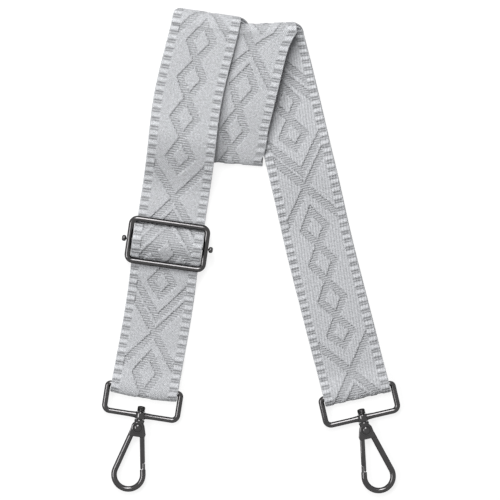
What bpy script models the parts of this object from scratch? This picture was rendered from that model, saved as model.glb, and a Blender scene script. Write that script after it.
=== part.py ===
"""Detachable bag strap, laid flat: one band of webbing, a slider and two swivel snap hooks.

Run it with blender --background --python part.py, or from the text editor.
Lengths are in metres and +Z is up. The strap lies coiled on the plane z = 0.

The band starts at hook A, where its end is sewn round the ring. It runs up the left
leg over the slider's bar, is coiled twice, runs down the right leg, turns round the
ring of hook B and comes back the whole way behind itself to the slider, where its
other end is sewn round the bar. So it lies double from the slider to hook B.
"""

import math

import bmesh
import bpy
import numpy as np
from mathutils import Matrix, Vector

# Webbing
WEBBING_WIDTH = 0.038
WEBBING_THICKNESS = 0.0013
LAYER_GAP = 0.0003  # between two layers that lie on each other
LAYER_SHIFT = 0.0013  # how far the back run lies sideways of the front run
NODE_GAP = 0.0003  # where the band is divided

# How the strap is laid
LEG_SPREAD = 0.120  # between the two ring bars
LAID_LENGTH = 0.2063  # from the ring bars to the start of the left top fold
FOLD_BULGE = 0.0033  # how much further than its layers need the right top fold bulges
TURN_LOFT = 0.005  # how much higher than its layers need the coil springs up from its turn
CROSSING_CLIMB = 0.036  # length of the left leg's climb over the coil's turn
COIL_RISE = 0.0001  # spare height under the left leg where it crosses the coil
RIGHT_RAMP = 0.040  # length of the right leg's fall from the coil to the table

# Seats and clearances
SEAT_GAP = 0.0003
TURN_GAP = 0.0002  # round pins, and under the rivet's heads
CUT_OVERRUN = 0.002

# Sewn ends
HOOK_FLAP = 0.017  # from the ring's bar to the raw end
FLAP_COVER = 0.0015  # the front layer stays up this far past it
FLAP_STEP = 0.006  # length of the front layer's step down past the flap
LOOP_TAPER = 0.0125  # length over which a loop closes above a ring's bar
LOOP_SLACK = 0.0015  # how far a loop hangs past its seat on the ring's bar
SLIDER_FLAP_SHOWN = 0.0025  # past the slider's frame, underneath

# Slider
SLIDER_PLACE_SHARE = 0.4014  # its bar, along the left leg, as a share of LAID_LENGTH
SLIDER_SIDE_GAP = 0.00035  # between the shifted layers' edges and the frame
SLIDER_HEIGHT = 0.027
SLIDER_WIRE = 0.0032
SLIDER_CORNER = 0.0049  # outer corner radius
SLIDER_ROD = 0.0032
SLIDER_NECK = 0.0017
SLIDER_KNOB = 0.0034
SLIDER_KNOB_LENGTH = 0.0024
ARCH_SLACK = 0.0003  # the front run rides this much above the sewn end
ARCH_EASE = 0.0005  # the arch starts this far inside the frame's bars
WRAP_EASE = 0.0017  # and the sewn end under it this far
LEG_RAMP = 0.018  # length of the climb from the table to the slider's frame

# Ring of a hook
RING_WIRE = 0.0031
RING_SIDE_GAP = 0.0003  # between the webbing's edge and the ring's post
RING_HEIGHT = 0.0154  # between the middles of its two bars
RING_LOW_CORNER = 0.0032  # on the wire's middle line
RING_TOP_CORNER = 0.0017
RING_A_LEAN = -9.0  # degrees
RING_B_LEAN = 13.0
BOSS_WALL = 0.0013  # round the stud's bore
BOSS_TOP_RISE = 0.0001  # of the boss's ends, past the flared wire
BOSS_BOTTOM_RISE = 0.0004
FLARE_RISE = 0.00025  # of the wire, next to the boss
FLARE_LENGTH = 0.0065

# Swivel stud
STUD_RADIUS = 0.0014
STUD_CAP_RADIUS = 0.00228
STUD_CAP_TALL = 0.0031
STUD_CHAMFER = 0.0005
STUD_SEAT = 0.0018  # how deep it stands in the hook's head

# Body of a hook
HOOK_WIRE = 0.0032
BOW_ACROSS = -0.0014  # middle of the bow, sideways of the swivel's axis
BOW_DOWN = 0.0342  # and below the ring's bar
BOW_RADIUS = 0.00815  # on the wire's middle line
HEAD_TOP_GAP = 0.0003
HEAD_NECK_RADIUS = 0.0029
HEAD_LENGTH = 0.0097
HEAD_FOOT_WIDTH = 0.0094
HEAD_WALL = 0.0008  # beside the gate's slot
HEAD_BEVEL = 0.0004
CHEEK_WALL = 0.0011
CHEEK_RIM = 0.0013  # round the knuckle's pocket
SPINE_ROOT_ACROSS = -0.0030
SPINE_ROOT_DOWN = 0.0095

# Gate, its rivet and its spring
PIVOT_ACROSS = -0.0003
PIVOT_DOWN = 0.0071
GATE_LEAN = 10.0  # degrees between the closed gate and the swivel's axis
GATE_WIDTH = 0.0027
GATE_THICKNESS = 0.0022
NOSE_LENGTH = 0.0029  # from the gate's end to the start of the bow
GATE_BEVEL = 0.0003
LAP_LENGTH = 0.0034
KNUCKLE_RADIUS = 0.0022
SLOT_BACK = 0.0014  # from the pivot back to the slot's closed side
RIVET_RADIUS = 0.00085
RIVET_HEAD_RADIUS = 0.0018
RIVET_HEAD_TALL = 0.0004
SPRING_WALL_GAP = 0.00035  # between the spring and its recess
SPRING_WIRE = 0.0004
SPRING_PITCH = 0.0005
SPRING_TURNS = 1.25
SPRING_TAIL = 0.0004
SPRING_FLOOR = 0.00015  # of the gate's recess, above the middle plane

MERGE = 0.000002  # points closer than this are one

# Spacing of the cross lines along the band, and sides of the round pieces
BAND_STEP = 0.007
FOLD_STEPS = 12
BELL_STEPS = 16
CLIMB_STEPS = 8
BOW_STEPS = 22
CORNER_STEPS = 5
ROUND_SIDES = 20
WIRE_RESOLUTION = 3
SMOOTH_ANGLE = math.radians(35)

# Worked out from the sizes above
LAYER_PITCH = WEBBING_THICKNESS + LAYER_GAP
PAIR_THICKNESS = WEBBING_THICKNESS + LAYER_PITCH
PAIR_PITCH = PAIR_THICKNESS + LAYER_GAP
TABLE_LAYER = WEBBING_THICKNESS / 2
TABLE_PAIR = PAIR_THICKNESS / 2
RING_WRAP = (RING_WIRE + WEBBING_THICKNESS) / 2 + SEAT_GAP
RING_BAR_HEIGHT = TABLE_LAYER + RING_WRAP
UNDER_FRAME = TABLE_LAYER + 2 * LAYER_PITCH
FRAME_PLANE = UNDER_FRAME + WEBBING_THICKNESS / 2 + SEAT_GAP + SLIDER_WIRE / 2
ROD_WRAP = (SLIDER_ROD + WEBBING_THICKNESS) / 2 + SEAT_GAP
ARCH_TOP = FRAME_PLANE + ROD_WRAP + LAYER_PITCH + ARCH_SLACK
FRAME_HALF = SLIDER_HEIGHT / 2
WINDOW_HALF = FRAME_HALF - SLIDER_WIRE
ARCH_HALF = FRAME_HALF - ARCH_EASE
SLIDER_FLAP = FRAME_HALF + SLIDER_FLAP_SHOWN
SLIDER_WINDOW_WIDTH = WEBBING_WIDTH + LAYER_SHIFT + 2 * SLIDER_SIDE_GAP
HOOK_FLAP_COVER = HOOK_FLAP + FLAP_COVER
RIGHT_FOLD_RADIUS = PAIR_PITCH / 2 + FOLD_BULGE
RIGHT_LEG_HEIGHT = TABLE_PAIR + PAIR_PITCH
TURN_HEIGHT = TABLE_PAIR + 2 * PAIR_PITCH + TURN_LOFT
RIGHT_FOLD_TOP = RIGHT_LEG_HEIGHT + 2 * RIGHT_FOLD_RADIUS
CROSSING_HEIGHT = TURN_HEIGHT + PAIR_PITCH + COIL_RISE
LEFT_FOLD_TOP = RIGHT_FOLD_TOP + PAIR_PITCH
RING_HALF = WEBBING_WIDTH / 2 + RING_SIDE_GAP + RING_WIRE / 2
FLARE_RADIUS = RING_WIRE / 2 + FLARE_RISE
BOSS_RADIUS = STUD_RADIUS + SEAT_GAP + BOSS_WALL
BOSS_TOP = FLARE_RADIUS + BOSS_TOP_RISE
BOSS_BOTTOM = FLARE_RADIUS + BOSS_BOTTOM_RISE
HOOK_HEAD_TOP = BOSS_BOTTOM + HEAD_TOP_GAP
SLOT_WIDTH = GATE_THICKNESS + 2 * SEAT_GAP
HEAD_THICKNESS = SLOT_WIDTH + 2 * HEAD_WALL
CHEEK_THICKNESS = SLOT_WIDTH + 2 * CHEEK_WALL
CHEEK_RADIUS = KNUCKLE_RADIUS + SEAT_GAP + CHEEK_RIM
SPRING_RADIUS = KNUCKLE_RADIUS + TURN_GAP - SPRING_WALL_GAP - SPRING_WIRE / 2
PIVOT = Vector((PIVOT_ACROSS, -PIVOT_DOWN, 0))
GATE_DOWN = Vector((math.sin(math.radians(GATE_LEAN)), -math.cos(math.radians(GATE_LEAN)), 0))
GATE_OUT = Vector((-GATE_DOWN.y, GATE_DOWN.x, 0))
BOW = Vector((BOW_ACROSS, -BOW_DOWN, 0))
GATE_OFFSET = (BOW - PIVOT).dot(GATE_OUT) + BOW_RADIUS  # from the pivot to its middle line
GATE_LENGTH = (BOW - PIVOT).dot(GATE_DOWN) - NOSE_LENGTH

# Rails: the middle line of each stretch of the band, seen from above. A row holds x as
# a share of LEG_SPREAD and as a share of WEBBING_WIDTH, whose two lengths are added, y as
# a share of LAID_LENGTH, and the turn of the cross line in degrees.
LEFT_LEG_SHARES = [
    (-0.4975, 0, 0, RING_A_LEAN),
    (-0.431, 0, 0.218, -10),
    (-0.389, 0, 0.396, -8),
    (-0.330, 0, 0.618, -8),
    (-0.290, 0, 0.795, -9.5),
    (0, -0.660, 0.988, -8.5),
]
COIL_DOWN_SHARES = [
    (0, -0.494, 0.988, -8.5),
    (0, -0.395, 0.815, -2),
    (0, -0.305, 0.638, -4.3),
]
COIL_UP_SHARES = [
    (0, -0.240, 0.706, -4.3),
    (0, -0.105, 0.813, -11),
    (0, 0.070, 0.940, -7.5),
    (0, 0.202, 0.9724, 2),
]
RIGHT_LEG_SHARES = [
    (0.5025, 0, -0.008, RING_B_LEAN),
    (0.403, 0, 0.218, 14.2),
    (0.331, 0, 0.383, 14),
    (0, 0.841, 0.548, 14),
    (0, 0.734, 0.630, 13),
    (0, 0.524, 0.795, 12.5),
    (0, 0.294, 0.9724, 2),
]
RAIL_POINTS = 24  # between two rows


def clear_scene():
    """Removes what the scene holds."""
    for item in list(bpy.data.objects):
        bpy.data.objects.remove(item)


def new_collection(name):
    """A collection under the scene's own."""
    collection = bpy.data.collections.new(name)
    bpy.context.scene.collection.children.link(collection)
    return collection


def material(name, colour, roughness, metallic):
    """A Principled material."""
    made = bpy.data.materials.new(name)
    made.use_nodes = True
    shader = made.node_tree.nodes["Principled BSDF"]
    shader.inputs["Base Color"].default_value = (*colour, 1)
    shader.inputs["Roughness"].default_value = roughness
    shader.inputs["Metallic"].default_value = metallic
    return made


def ease(share):
    """Goes from 0 to 1 with level ends."""
    share = np.clip(share, 0, 1)
    return share * share * (3 - 2 * share)


def bell(share):
    """1 in the middle, 0 with level ends at -1 and 1."""
    return 0.5 * (1 + math.cos(math.pi * max(-1, min(1, share))))


class Rail:
    """A smooth line in plan, measured from its first point, that also turns the cross line."""

    def __init__(self, rows):
        table = np.array(rows, float)
        keys = np.column_stack(
            [
                table[:, 0] * LEG_SPREAD + table[:, 1] * WEBBING_WIDTH,
                table[:, 2] * LAID_LENGTH,
                np.radians(table[:, 3]),
            ]
        )
        keys = np.vstack([2 * keys[0] - keys[1], keys, 2 * keys[-1] - keys[-2]])
        shares = np.arange(RAIL_POINTS) / RAIL_POINTS
        points = []
        for before, start, end, after in zip(keys, keys[1:], keys[2:], keys[3:]):
            for t in shares:
                points.append(
                    start
                    + 0.5 * t * (end - before)
                    + t * t * (before - 2.5 * start + 2 * end - 0.5 * after)
                    + t * t * t * (1.5 * (start - end) + 0.5 * (after - before))
                )
        points.append(keys[-2])
        self.points = np.array(points)
        steps = np.linalg.norm(np.diff(self.points[:, :2], axis=0), axis=1)
        self.distances = np.concatenate([[0], np.cumsum(steps)])
        self.length = self.distances[-1]

    def at(self, distance):
        """(x, y) and the cross line's turn. Before its first point the rail runs straight on."""
        inside = min(max(distance, 0), self.length)
        x, y, turn = (np.interp(inside, self.distances, column) for column in self.points.T)
        if distance < 0:
            x -= distance * math.sin(turn)
            y += distance * math.cos(turn)
        return x, y, turn

    def where(self, y):
        """The distance at which the rail has this y."""
        order = np.argsort(self.points[:, 1])
        return float(np.interp(y, self.points[order, 1], self.distances[order]))


def cross_line(turn):
    """The unit vector across the band."""
    return np.array([math.cos(turn), math.sin(turn), 0])


def lay(rail, profile, shift=None):
    """Cross lines of the band along a side profile of (distance, height) over a rail."""
    centres, acrosses = [], []
    for distance, height in profile:
        x, y, turn = rail.at(distance)
        across = cross_line(turn)
        aside = shift(distance) if shift else 0
        centres.append(np.array([x, y, height]) + aside * across)
        acrosses.append(across)
    return np.array(centres), np.array(acrosses)


def spaced(start, end):
    """Distances from start to end, about BAND_STEP apart."""
    return np.linspace(start, end, max(2, int(math.ceil(abs(end - start) / BAND_STEP)) + 1))


def eased(distances, low, high):
    """A profile over these distances that eases from one height to another."""
    shares = (distances - distances[0]) / (distances[-1] - distances[0])
    return list(zip(distances, low + ease(shares) * (high - low)))


def climb(start, end, low, high):
    """A short profile that eases from one height to another, in even steps."""
    return eased(np.linspace(start, end, CLIMB_STEPS + 1), low, high)


def rise(start, end, low, high):
    """A long profile that eases from one height to another."""
    return eased(spaced(start, end), low, high)


def level(start, end, height):
    """A level profile."""
    return [(distance, height) for distance in spaced(start, end)]


def bend(distance, height, radius, first, last, slack=0):
    """A round profile about a bar, between two angles in degrees, that hangs slack past it."""
    angles = np.radians(np.linspace(first, last, FOLD_STEPS + 1))
    reach = radius + slack
    return [(distance + reach * math.cos(a), height + radius * math.sin(a)) for a in angles]


def joined(*profiles):
    """One profile from several, without the points that two of them share."""
    points = list(profiles[0])
    for profile in profiles[1:]:
        points += [p for p in profile if math.dist(p, points[-1]) > MERGE]
    return points


def fold(start, end, turn, outward):
    """Cross lines of the doubled band round a half-round fold, from one (x, y, z) to another.

    outward is +1 where the fold lies beyond the band's end in +Y, and -1 in -Y. Where the
    end lies further on than the start, the fold's upper half rises to it in a long curve.
    """
    start, end = np.array(start), np.array(end)
    across = cross_line(turn)
    away = outward * np.array([-across[1], across[0], 0])
    radius = abs(end[2] - start[2]) / 2
    centres = []
    for angle in np.linspace(0, math.pi, FOLD_STEPS + 1):
        done = angle / math.pi
        plan = start + ease(done) ** 2 * (end - start)
        height = start[2] + (end[2] - start[2]) * (1 - math.cos(angle)) / 2
        centres.append(np.array([plan[0], plan[1], height]) + radius * math.sin(angle) * away)
    return np.array(centres), np.tile(across, (FOLD_STEPS + 1, 1))


def chain(*stretches):
    """Stretches of cross lines put end to end, without the lines that two of them share."""
    centres, acrosses = [stretches[0][0]], [stretches[0][1]]
    for more, across in stretches[1:]:
        centres.append(more[1:])
        acrosses.append(across[1:])
    return np.concatenate(centres), np.concatenate(acrosses)


def beside(run, side, fade=None):
    """The front run (side 1) or the back run (side -1) of the doubled band.

    The front run lies above on the left leg, and shifted against the cross line.
    """
    centres, acrosses = run
    tangents = np.gradient(centres, axis=0)
    normals = np.cross(acrosses, tangents)
    normals /= np.linalg.norm(normals, axis=1)[:, None]
    shift = np.full(len(centres), -side * LAYER_SHIFT / 2)
    if fade is not None:
        shift = shift * fade
    moved = centres + side * LAYER_PITCH / 2 * normals + shift[:, None] * acrosses
    return moved, acrosses


def part_of(run, first, last):
    """The cross lines first to last, with the cut ends drawn back by half of NODE_GAP."""
    centres, acrosses = run[0][first : last + 1].copy(), run[1][first : last + 1]
    for end, inner in ((0, 1), (-1, -2)):
        back = centres[inner] - centres[end]
        centres[end] += back / np.linalg.norm(back) * NODE_GAP / 2
    return centres, acrosses


def band(name, run, finish, home):
    """A solid stretch of webbing: a grid laid along the cross lines, thickened both ways."""
    centres, acrosses = run
    steps = len(centres) - 1
    mesh = bpy.data.meshes.new(name)
    maker = bmesh.new()
    bmesh.ops.create_grid(maker, x_segments=steps, y_segments=1, size=WEBBING_WIDTH / 2)
    for vert in maker.verts:
        row = round((vert.co.x / WEBBING_WIDTH + 0.5) * steps)
        vert.co = Vector(centres[row] - vert.co.y * acrosses[row])
    maker.to_mesh(mesh)
    maker.free()
    item = bpy.data.objects.new(name, mesh)
    home.objects.link(item)
    item.data.materials.append(finish)
    solid = item.modifiers.new("Thickness", "SOLIDIFY")
    solid.thickness = WEBBING_THICKNESS
    solid.offset = 0
    solid.use_even_offset = True
    return item


def mesh_of(item):
    """The evaluated mesh of an object in world space, which is then removed."""
    bpy.context.view_layer.update()
    graph = bpy.context.evaluated_depsgraph_get()
    mesh = bpy.data.meshes.new_from_object(item.evaluated_get(graph), depsgraph=graph)
    mesh.transform(item.matrix_world)
    bpy.data.objects.remove(item)
    cleaner = bmesh.new()
    cleaner.from_mesh(mesh)
    bmesh.ops.remove_doubles(cleaner, verts=cleaner.verts, dist=MERGE)
    bmesh.ops.recalc_face_normals(cleaner, faces=cleaner.faces)
    cleaner.to_mesh(mesh)
    cleaner.free()
    return mesh


def loose(name, data):
    """An object in the helpers' collection."""
    item = bpy.data.objects.new(name, data)
    item.hide_render = True
    item.display_type = "WIRE"
    bpy.data.collections["helpers"].objects.link(item)
    return item


def wire(points, diameter, closed=False, resolution=WIRE_RESOLUTION, swells=None):
    """A round wire along points, thicker or thinner where swells says so for each point."""
    curve = bpy.data.curves.new("wire", "CURVE")
    curve.dimensions = "3D"
    curve.bevel_depth = diameter / 2
    curve.bevel_resolution = resolution
    curve.use_fill_caps = not closed
    spline = curve.splines.new("POLY")
    spline.points.add(len(points) - 1)
    for target, place, swell in zip(spline.points, points, swells or [1] * len(points)):
        target.co = (*place, 1)
        target.radius = swell
    spline.use_cyclic_u = closed
    return mesh_of(loose("wire", curve))


def plate(outline, thickness, bevel=0):
    """A flat outline in XY, thickened both ways from z = 0, with its edges rounded."""
    curve = bpy.data.curves.new("plate", "CURVE")
    curve.dimensions = "2D"
    curve.fill_mode = "BOTH"
    curve.extrude = thickness / 2 - bevel
    curve.bevel_depth = bevel
    curve.bevel_resolution = 1
    curve.offset = -bevel
    spline = curve.splines.new("POLY")
    spline.points.add(len(outline) - 1)
    for target, place in zip(spline.points, outline):
        target.co = (place[0], place[1], 0, 1)
    spline.use_cyclic_u = True
    return mesh_of(loose("plate", curve))


def turned(profile, axis):
    """A profile of (radius, height) from top to bottom, turned about an axis through the origin."""
    mesh = bpy.data.meshes.new("turned")
    points = [(radius, 0, height) for radius, height in profile]
    mesh.from_pydata(points, [(i, i + 1) for i in range(len(points) - 1)], [])
    item = loose("turned", mesh)
    screw = item.modifiers.new("Turn", "SCREW")
    screw.steps = screw.render_steps = ROUND_SIDES
    screw.use_merge_vertices = True
    screw.merge_threshold = MERGE
    if axis == "Y":
        item.rotation_euler = (-math.pi / 2, 0, 0)
    return mesh_of(item)


def drum(radius, low, high, axis, place=(0, 0, 0)):
    """A plain cylinder along an axis."""
    mesh = turned([(0, high), (radius, high), (radius, low), (0, low)], axis)
    mesh.transform(Matrix.Translation(place))
    return mesh


def combine(base, other, operation):
    """The Boolean of two meshes."""
    item, tool = loose("base", base), loose("tool", other)
    cut = item.modifiers.new("Cut", "BOOLEAN")
    cut.operation = operation
    cut.object = tool
    cut.solver = "EXACT"
    mesh = mesh_of(item)
    bpy.data.objects.remove(tool)
    return mesh


def arc(centre, radius, first, last, steps):
    """Points of an arc in XY, between two angles in degrees."""
    return [
        Vector((centre[0] + radius * math.cos(a), centre[1] + radius * math.sin(a), 0))
        for a in np.radians(np.linspace(first, last, steps + 1))
    ]


def rounded_frame(half_width, low, high, low_corner, high_corner, steps):
    """The middle line of a rectangular frame with round corners, in XY."""
    return (
        arc((half_width - high_corner, high - high_corner), high_corner, 0, 90, steps)
        + arc((-half_width + high_corner, high - high_corner), high_corner, 90, 180, steps)
        + arc((-half_width + low_corner, low + low_corner), low_corner, 180, 270, steps)
        + arc((half_width - low_corner, low + low_corner), low_corner, 270, 360, steps)
    )


def stand(name, mesh, matrix, origin, finish, home):
    """Places a mesh made in its assembly's own frame, with its object's origin at a point of it."""
    item = bpy.data.objects.new(name, mesh)
    if mesh.users == 1:
        mesh.transform(Matrix.Translation(-Vector(origin)))
        mesh.materials.append(finish)
        mesh.shade_smooth()
        mesh.set_sharp_from_angle(angle=SMOOTH_ANGLE)
    item.matrix_world = matrix @ Matrix.Translation(origin)
    home.objects.link(item)
    return item


def arch_height(distance):
    """Height of the front run over the slider's bar."""
    reach = WINDOW_HALF - ARCH_EASE
    return UNDER_FRAME + (ARCH_TOP - UNDER_FRAME) * bell(distance / reach)


def wrap_height(distance):
    """Height of the sewn end, where it climbs onto the slider's bar."""
    reach = WINDOW_HALF - WRAP_EASE
    foot = UNDER_FRAME - LAYER_PITCH
    return foot + (FRAME_PLANE + ROD_WRAP - foot) * bell(distance / reach)


def flap_height(distance):
    """Height of the sewn end's flap, where it comes off the slider's bar."""
    reach = WINDOW_HALF - WRAP_EASE
    return TABLE_LAYER + (FRAME_PLANE - ROD_WRAP - TABLE_LAYER) * bell(distance / reach)


def webbing(rails, finish, home):
    """The band, divided where it bends and where a moving piece meets it."""
    left, down, up, right = rails
    place = SLIDER_PLACE_SHARE * LAID_LENGTH
    coil_down = lay(down, level(0, down.length, TABLE_PAIR))
    coil_up = lay(up, rise(0, up.length, TURN_HEIGHT, RIGHT_FOLD_TOP))
    turn = fold(coil_down[0][-1], coil_up[0][0], up.at(0)[2], -1)
    turn_edge = turn[0][:, 1].min() - TABLE_PAIR
    items = {}

    def shift_left(distance):
        return -LAYER_SHIFT / 2 * ease((distance - HOOK_FLAP) / LEG_RAMP)

    # The sewn end round the ring of hook A
    over_flap = TABLE_LAYER + LAYER_PITCH
    profile = joined(
        level(HOOK_FLAP, 0, TABLE_LAYER),
        bend(0, RING_BAR_HEIGHT, RING_WRAP, -90, -270, LOOP_SLACK),
        climb(0, LOOP_TAPER, RING_BAR_HEIGHT + RING_WRAP, over_flap),
        level(LOOP_TAPER, HOOK_FLAP_COVER, over_flap),
    )
    items["webbing_hook_a_loop"] = lay(left, profile)

    # The single layer, from the flap to the slider
    foot = place - ARCH_HALF
    start = HOOK_FLAP_COVER + NODE_GAP
    profile = joined(
        climb(start, start + FLAP_STEP, over_flap, TABLE_LAYER),
        level(start + FLAP_STEP, foot - LEG_RAMP, TABLE_LAYER),
        climb(foot - LEG_RAMP, foot - ARCH_EASE, TABLE_LAYER, UNDER_FRAME),
        [(foot - NODE_GAP, UNDER_FRAME)],
    )
    items["webbing_lower_leg"] = lay(left, profile, shift_left)

    # The front run over the slider's bar
    profile = [
        (place + d, arch_height(d))
        for d in np.concatenate(
            [
                [-ARCH_HALF],
                np.linspace(-WINDOW_HALF + ARCH_EASE, WINDOW_HALF - ARCH_EASE, 2 * BELL_STEPS + 1),
                [ARCH_HALF],
            ]
        )
    ]
    items["webbing_slider_arch"] = lay(left, profile, lambda _: -LAYER_SHIFT / 2)

    # The other sewn end, round the slider's bar
    climbing = [
        (place + d, wrap_height(d))
        for d in np.concatenate([[ARCH_HALF], np.linspace(WINDOW_HALF - WRAP_EASE, 0, BELL_STEPS + 1)])
    ]
    round_bar = bend(place, FRAME_PLANE, ROD_WRAP, 90, 270)
    leaving = [
        (place + d, flap_height(d))
        for d in np.concatenate([np.linspace(0, WINDOW_HALF - WRAP_EASE, BELL_STEPS + 1), [SLIDER_FLAP]])
    ]
    items["webbing_slider_wrap"] = lay(
        left, joined(climbing, round_bar, leaving), lambda _: LAYER_SHIFT / 2
    )

    # The doubled band, from the slider to hook B
    above = place + SLIDER_FLAP
    crossing = left.where(turn_edge)
    climb_start, climb_end = crossing - CROSSING_CLIMB / 2, crossing + CROSSING_CLIMB / 2
    under_pair = UNDER_FRAME - LAYER_PITCH / 2
    profile = joined(
        [(place + ARCH_HALF + NODE_GAP, under_pair), (above, under_pair)],
        level(above, climb_start, under_pair),
        climb(climb_start, climb_end, under_pair, CROSSING_HEIGHT),
        rise(climb_end, left.length, CROSSING_HEIGHT, LEFT_FOLD_TOP),
    )
    left_leg = lay(left, profile)
    ramp_start = right.where(turn_edge)
    ramp_end = ramp_start - RIGHT_RAMP
    profile = joined(
        level(right.length, ramp_start, RIGHT_LEG_HEIGHT),
        climb(ramp_start, ramp_end, RIGHT_LEG_HEIGHT, TABLE_PAIR),
        level(ramp_end, LOOP_TAPER + NODE_GAP, TABLE_PAIR),
    )
    right_leg = lay(right, profile)
    left_fold = fold(left_leg[0][-1], coil_down[0][0], left.at(left.length)[2], 1)
    right_fold = fold(coil_up[0][-1], right_leg[0][0], right.at(right.length)[2], 1)
    whole = chain(left_leg, left_fold, coil_down, turn, coil_up, right_fold, right_leg)
    first = len(left_leg[0]) - 1
    last = len(whole[0]) - len(right_leg[0])
    distances = np.array([d for d, _ in profile])
    fade = np.ones(len(whole[0]))
    fade[last:] = ease((distances - LOOP_TAPER) / LEG_RAMP)
    for run, side in (("front", 1), ("back", -1)):
        layer = beside(whole, side, fade)
        items[f"webbing_{run}_left_leg"] = part_of(layer, 0, first)
        items[f"webbing_{run}_coil"] = part_of(layer, first, last)
        items[f"webbing_{run}_right_leg"] = part_of(layer, last, len(whole[0]) - 1)

    # The turn round the ring of hook B
    profile = joined(
        climb(LOOP_TAPER, 0, over_flap, RING_BAR_HEIGHT + RING_WRAP),
        bend(0, RING_BAR_HEIGHT, RING_WRAP, 90, 270, LOOP_SLACK),
        level(0, LOOP_TAPER, TABLE_LAYER),
    )
    items["webbing_hook_b_loop"] = lay(right, profile)
    return {name: band(name, run, finish, home) for name, run in items.items()}


def slider(rail, finish, home):
    """The frame, and the separate bar with its knobs."""
    x, y, turn = rail.at(SLIDER_PLACE_SHARE * LAID_LENGTH)
    matrix = Matrix.Translation((x, y, FRAME_PLANE)) @ Matrix.Rotation(turn, 4, "Z")
    half_width = (SLIDER_WINDOW_WIDTH + SLIDER_WIRE) / 2
    half_height = (SLIDER_HEIGHT - SLIDER_WIRE) / 2
    corner = SLIDER_CORNER - SLIDER_WIRE / 2
    line = rounded_frame(half_width, -half_height, half_height, corner, corner, CORNER_STEPS)
    frame = wire(line, SLIDER_WIRE, closed=True)
    reach = half_width + SLIDER_WIRE
    hole = drum(SLIDER_NECK / 2 + SEAT_GAP, -reach, reach, "Z")
    hole.transform(Matrix.Rotation(math.pi / 2, 4, "Y"))
    frame = combine(frame, hole, "DIFFERENCE")
    stand("slider_frame", frame, matrix, (0, 0, 0), finish, home)

    rod_end = SLIDER_WINDOW_WIDTH / 2 - SEAT_GAP
    knob_start = SLIDER_WINDOW_WIDTH / 2 + SLIDER_WIRE + SEAT_GAP
    knob_end = knob_start + SLIDER_KNOB_LENGTH
    knob = SLIDER_KNOB / 2
    crown = SLIDER_KNOB_LENGTH / 3
    half = [
        (0, knob_end),
        (knob / 2, knob_end),
        (knob, knob_end - crown),
        (knob, knob_start + crown),
        (SLIDER_NECK, knob_start),
        (SLIDER_NECK / 2, knob_start),
        (SLIDER_NECK / 2, rod_end),
        (SLIDER_ROD / 2, rod_end),
    ]
    profile = half + [(radius, -height) for radius, height in reversed(half)]
    bar = turned(profile, "Z")
    bar.transform(Matrix.Rotation(math.pi / 2, 4, "Y"))
    stand("slider_bar", bar, matrix, (0, 0, 0), finish, home)


def ring_mesh():
    """The closed ring with its swivel boss, in the hook's frame: y = 0 on the low bar."""
    line = rounded_frame(
        RING_HALF, 0, RING_HEIGHT, RING_LOW_CORNER, RING_TOP_CORNER, CORNER_STEPS
    )
    low_bar = 3 * (CORNER_STEPS + 1)
    flare = 2 * FLARE_RADIUS / RING_WIRE
    neck = BOSS_RADIUS / 2
    flared = [(-FLARE_LENGTH, 1), (-neck, flare), (neck, flare), (FLARE_LENGTH, 1)]
    points = line[:low_bar] + [Vector((x, 0, 0)) for x, _ in flared] + line[low_bar:]
    swells = [1] * low_bar + [swell for _, swell in flared] + [1] * (len(line) - low_bar)
    ring = wire(points, RING_WIRE, closed=True, swells=swells)
    rim = BOSS_RADIUS - STUD_CHAMFER
    boss = turned(
        [
            (0, BOSS_TOP),
            (rim, BOSS_TOP),
            (BOSS_RADIUS, BOSS_TOP - STUD_CHAMFER),
            (BOSS_RADIUS, STUD_CHAMFER - BOSS_BOTTOM),
            (rim, -BOSS_BOTTOM),
            (0, -BOSS_BOTTOM),
        ],
        "Y",
    )
    ring = combine(ring, boss, "UNION")
    bore = drum(STUD_RADIUS + SEAT_GAP, -BOSS_RADIUS - CUT_OVERRUN, BOSS_RADIUS + CUT_OVERRUN, "Y")
    return combine(ring, bore, "DIFFERENCE")


def stud_mesh():
    """The headed stud of the swivel."""
    seat = BOSS_TOP + SEAT_GAP
    top = seat + STUD_CAP_TALL
    groove = seat + STUD_CAP_TALL / 2
    waist = STUD_CAP_RADIUS - STUD_CHAMFER
    return turned(
        [
            (0, top),
            (waist, top),
            (STUD_CAP_RADIUS, top - STUD_CHAMFER),
            (STUD_CAP_RADIUS, groove + STUD_CHAMFER),
            (waist, groove),
            (STUD_CAP_RADIUS, groove - STUD_CHAMFER),
            (STUD_CAP_RADIUS, seat),
            (STUD_RADIUS, seat),
            (STUD_RADIUS, -HOOK_HEAD_TOP - STUD_SEAT),
            (0, -HOOK_HEAD_TOP - STUD_SEAT),
        ],
        "Y",
    )


def along_gate(down, out):
    """A point of the closed gate: down along it from the pivot, and out from its middle line."""
    return PIVOT + down * GATE_DOWN + (GATE_OFFSET + out) * GATE_OUT


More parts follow.
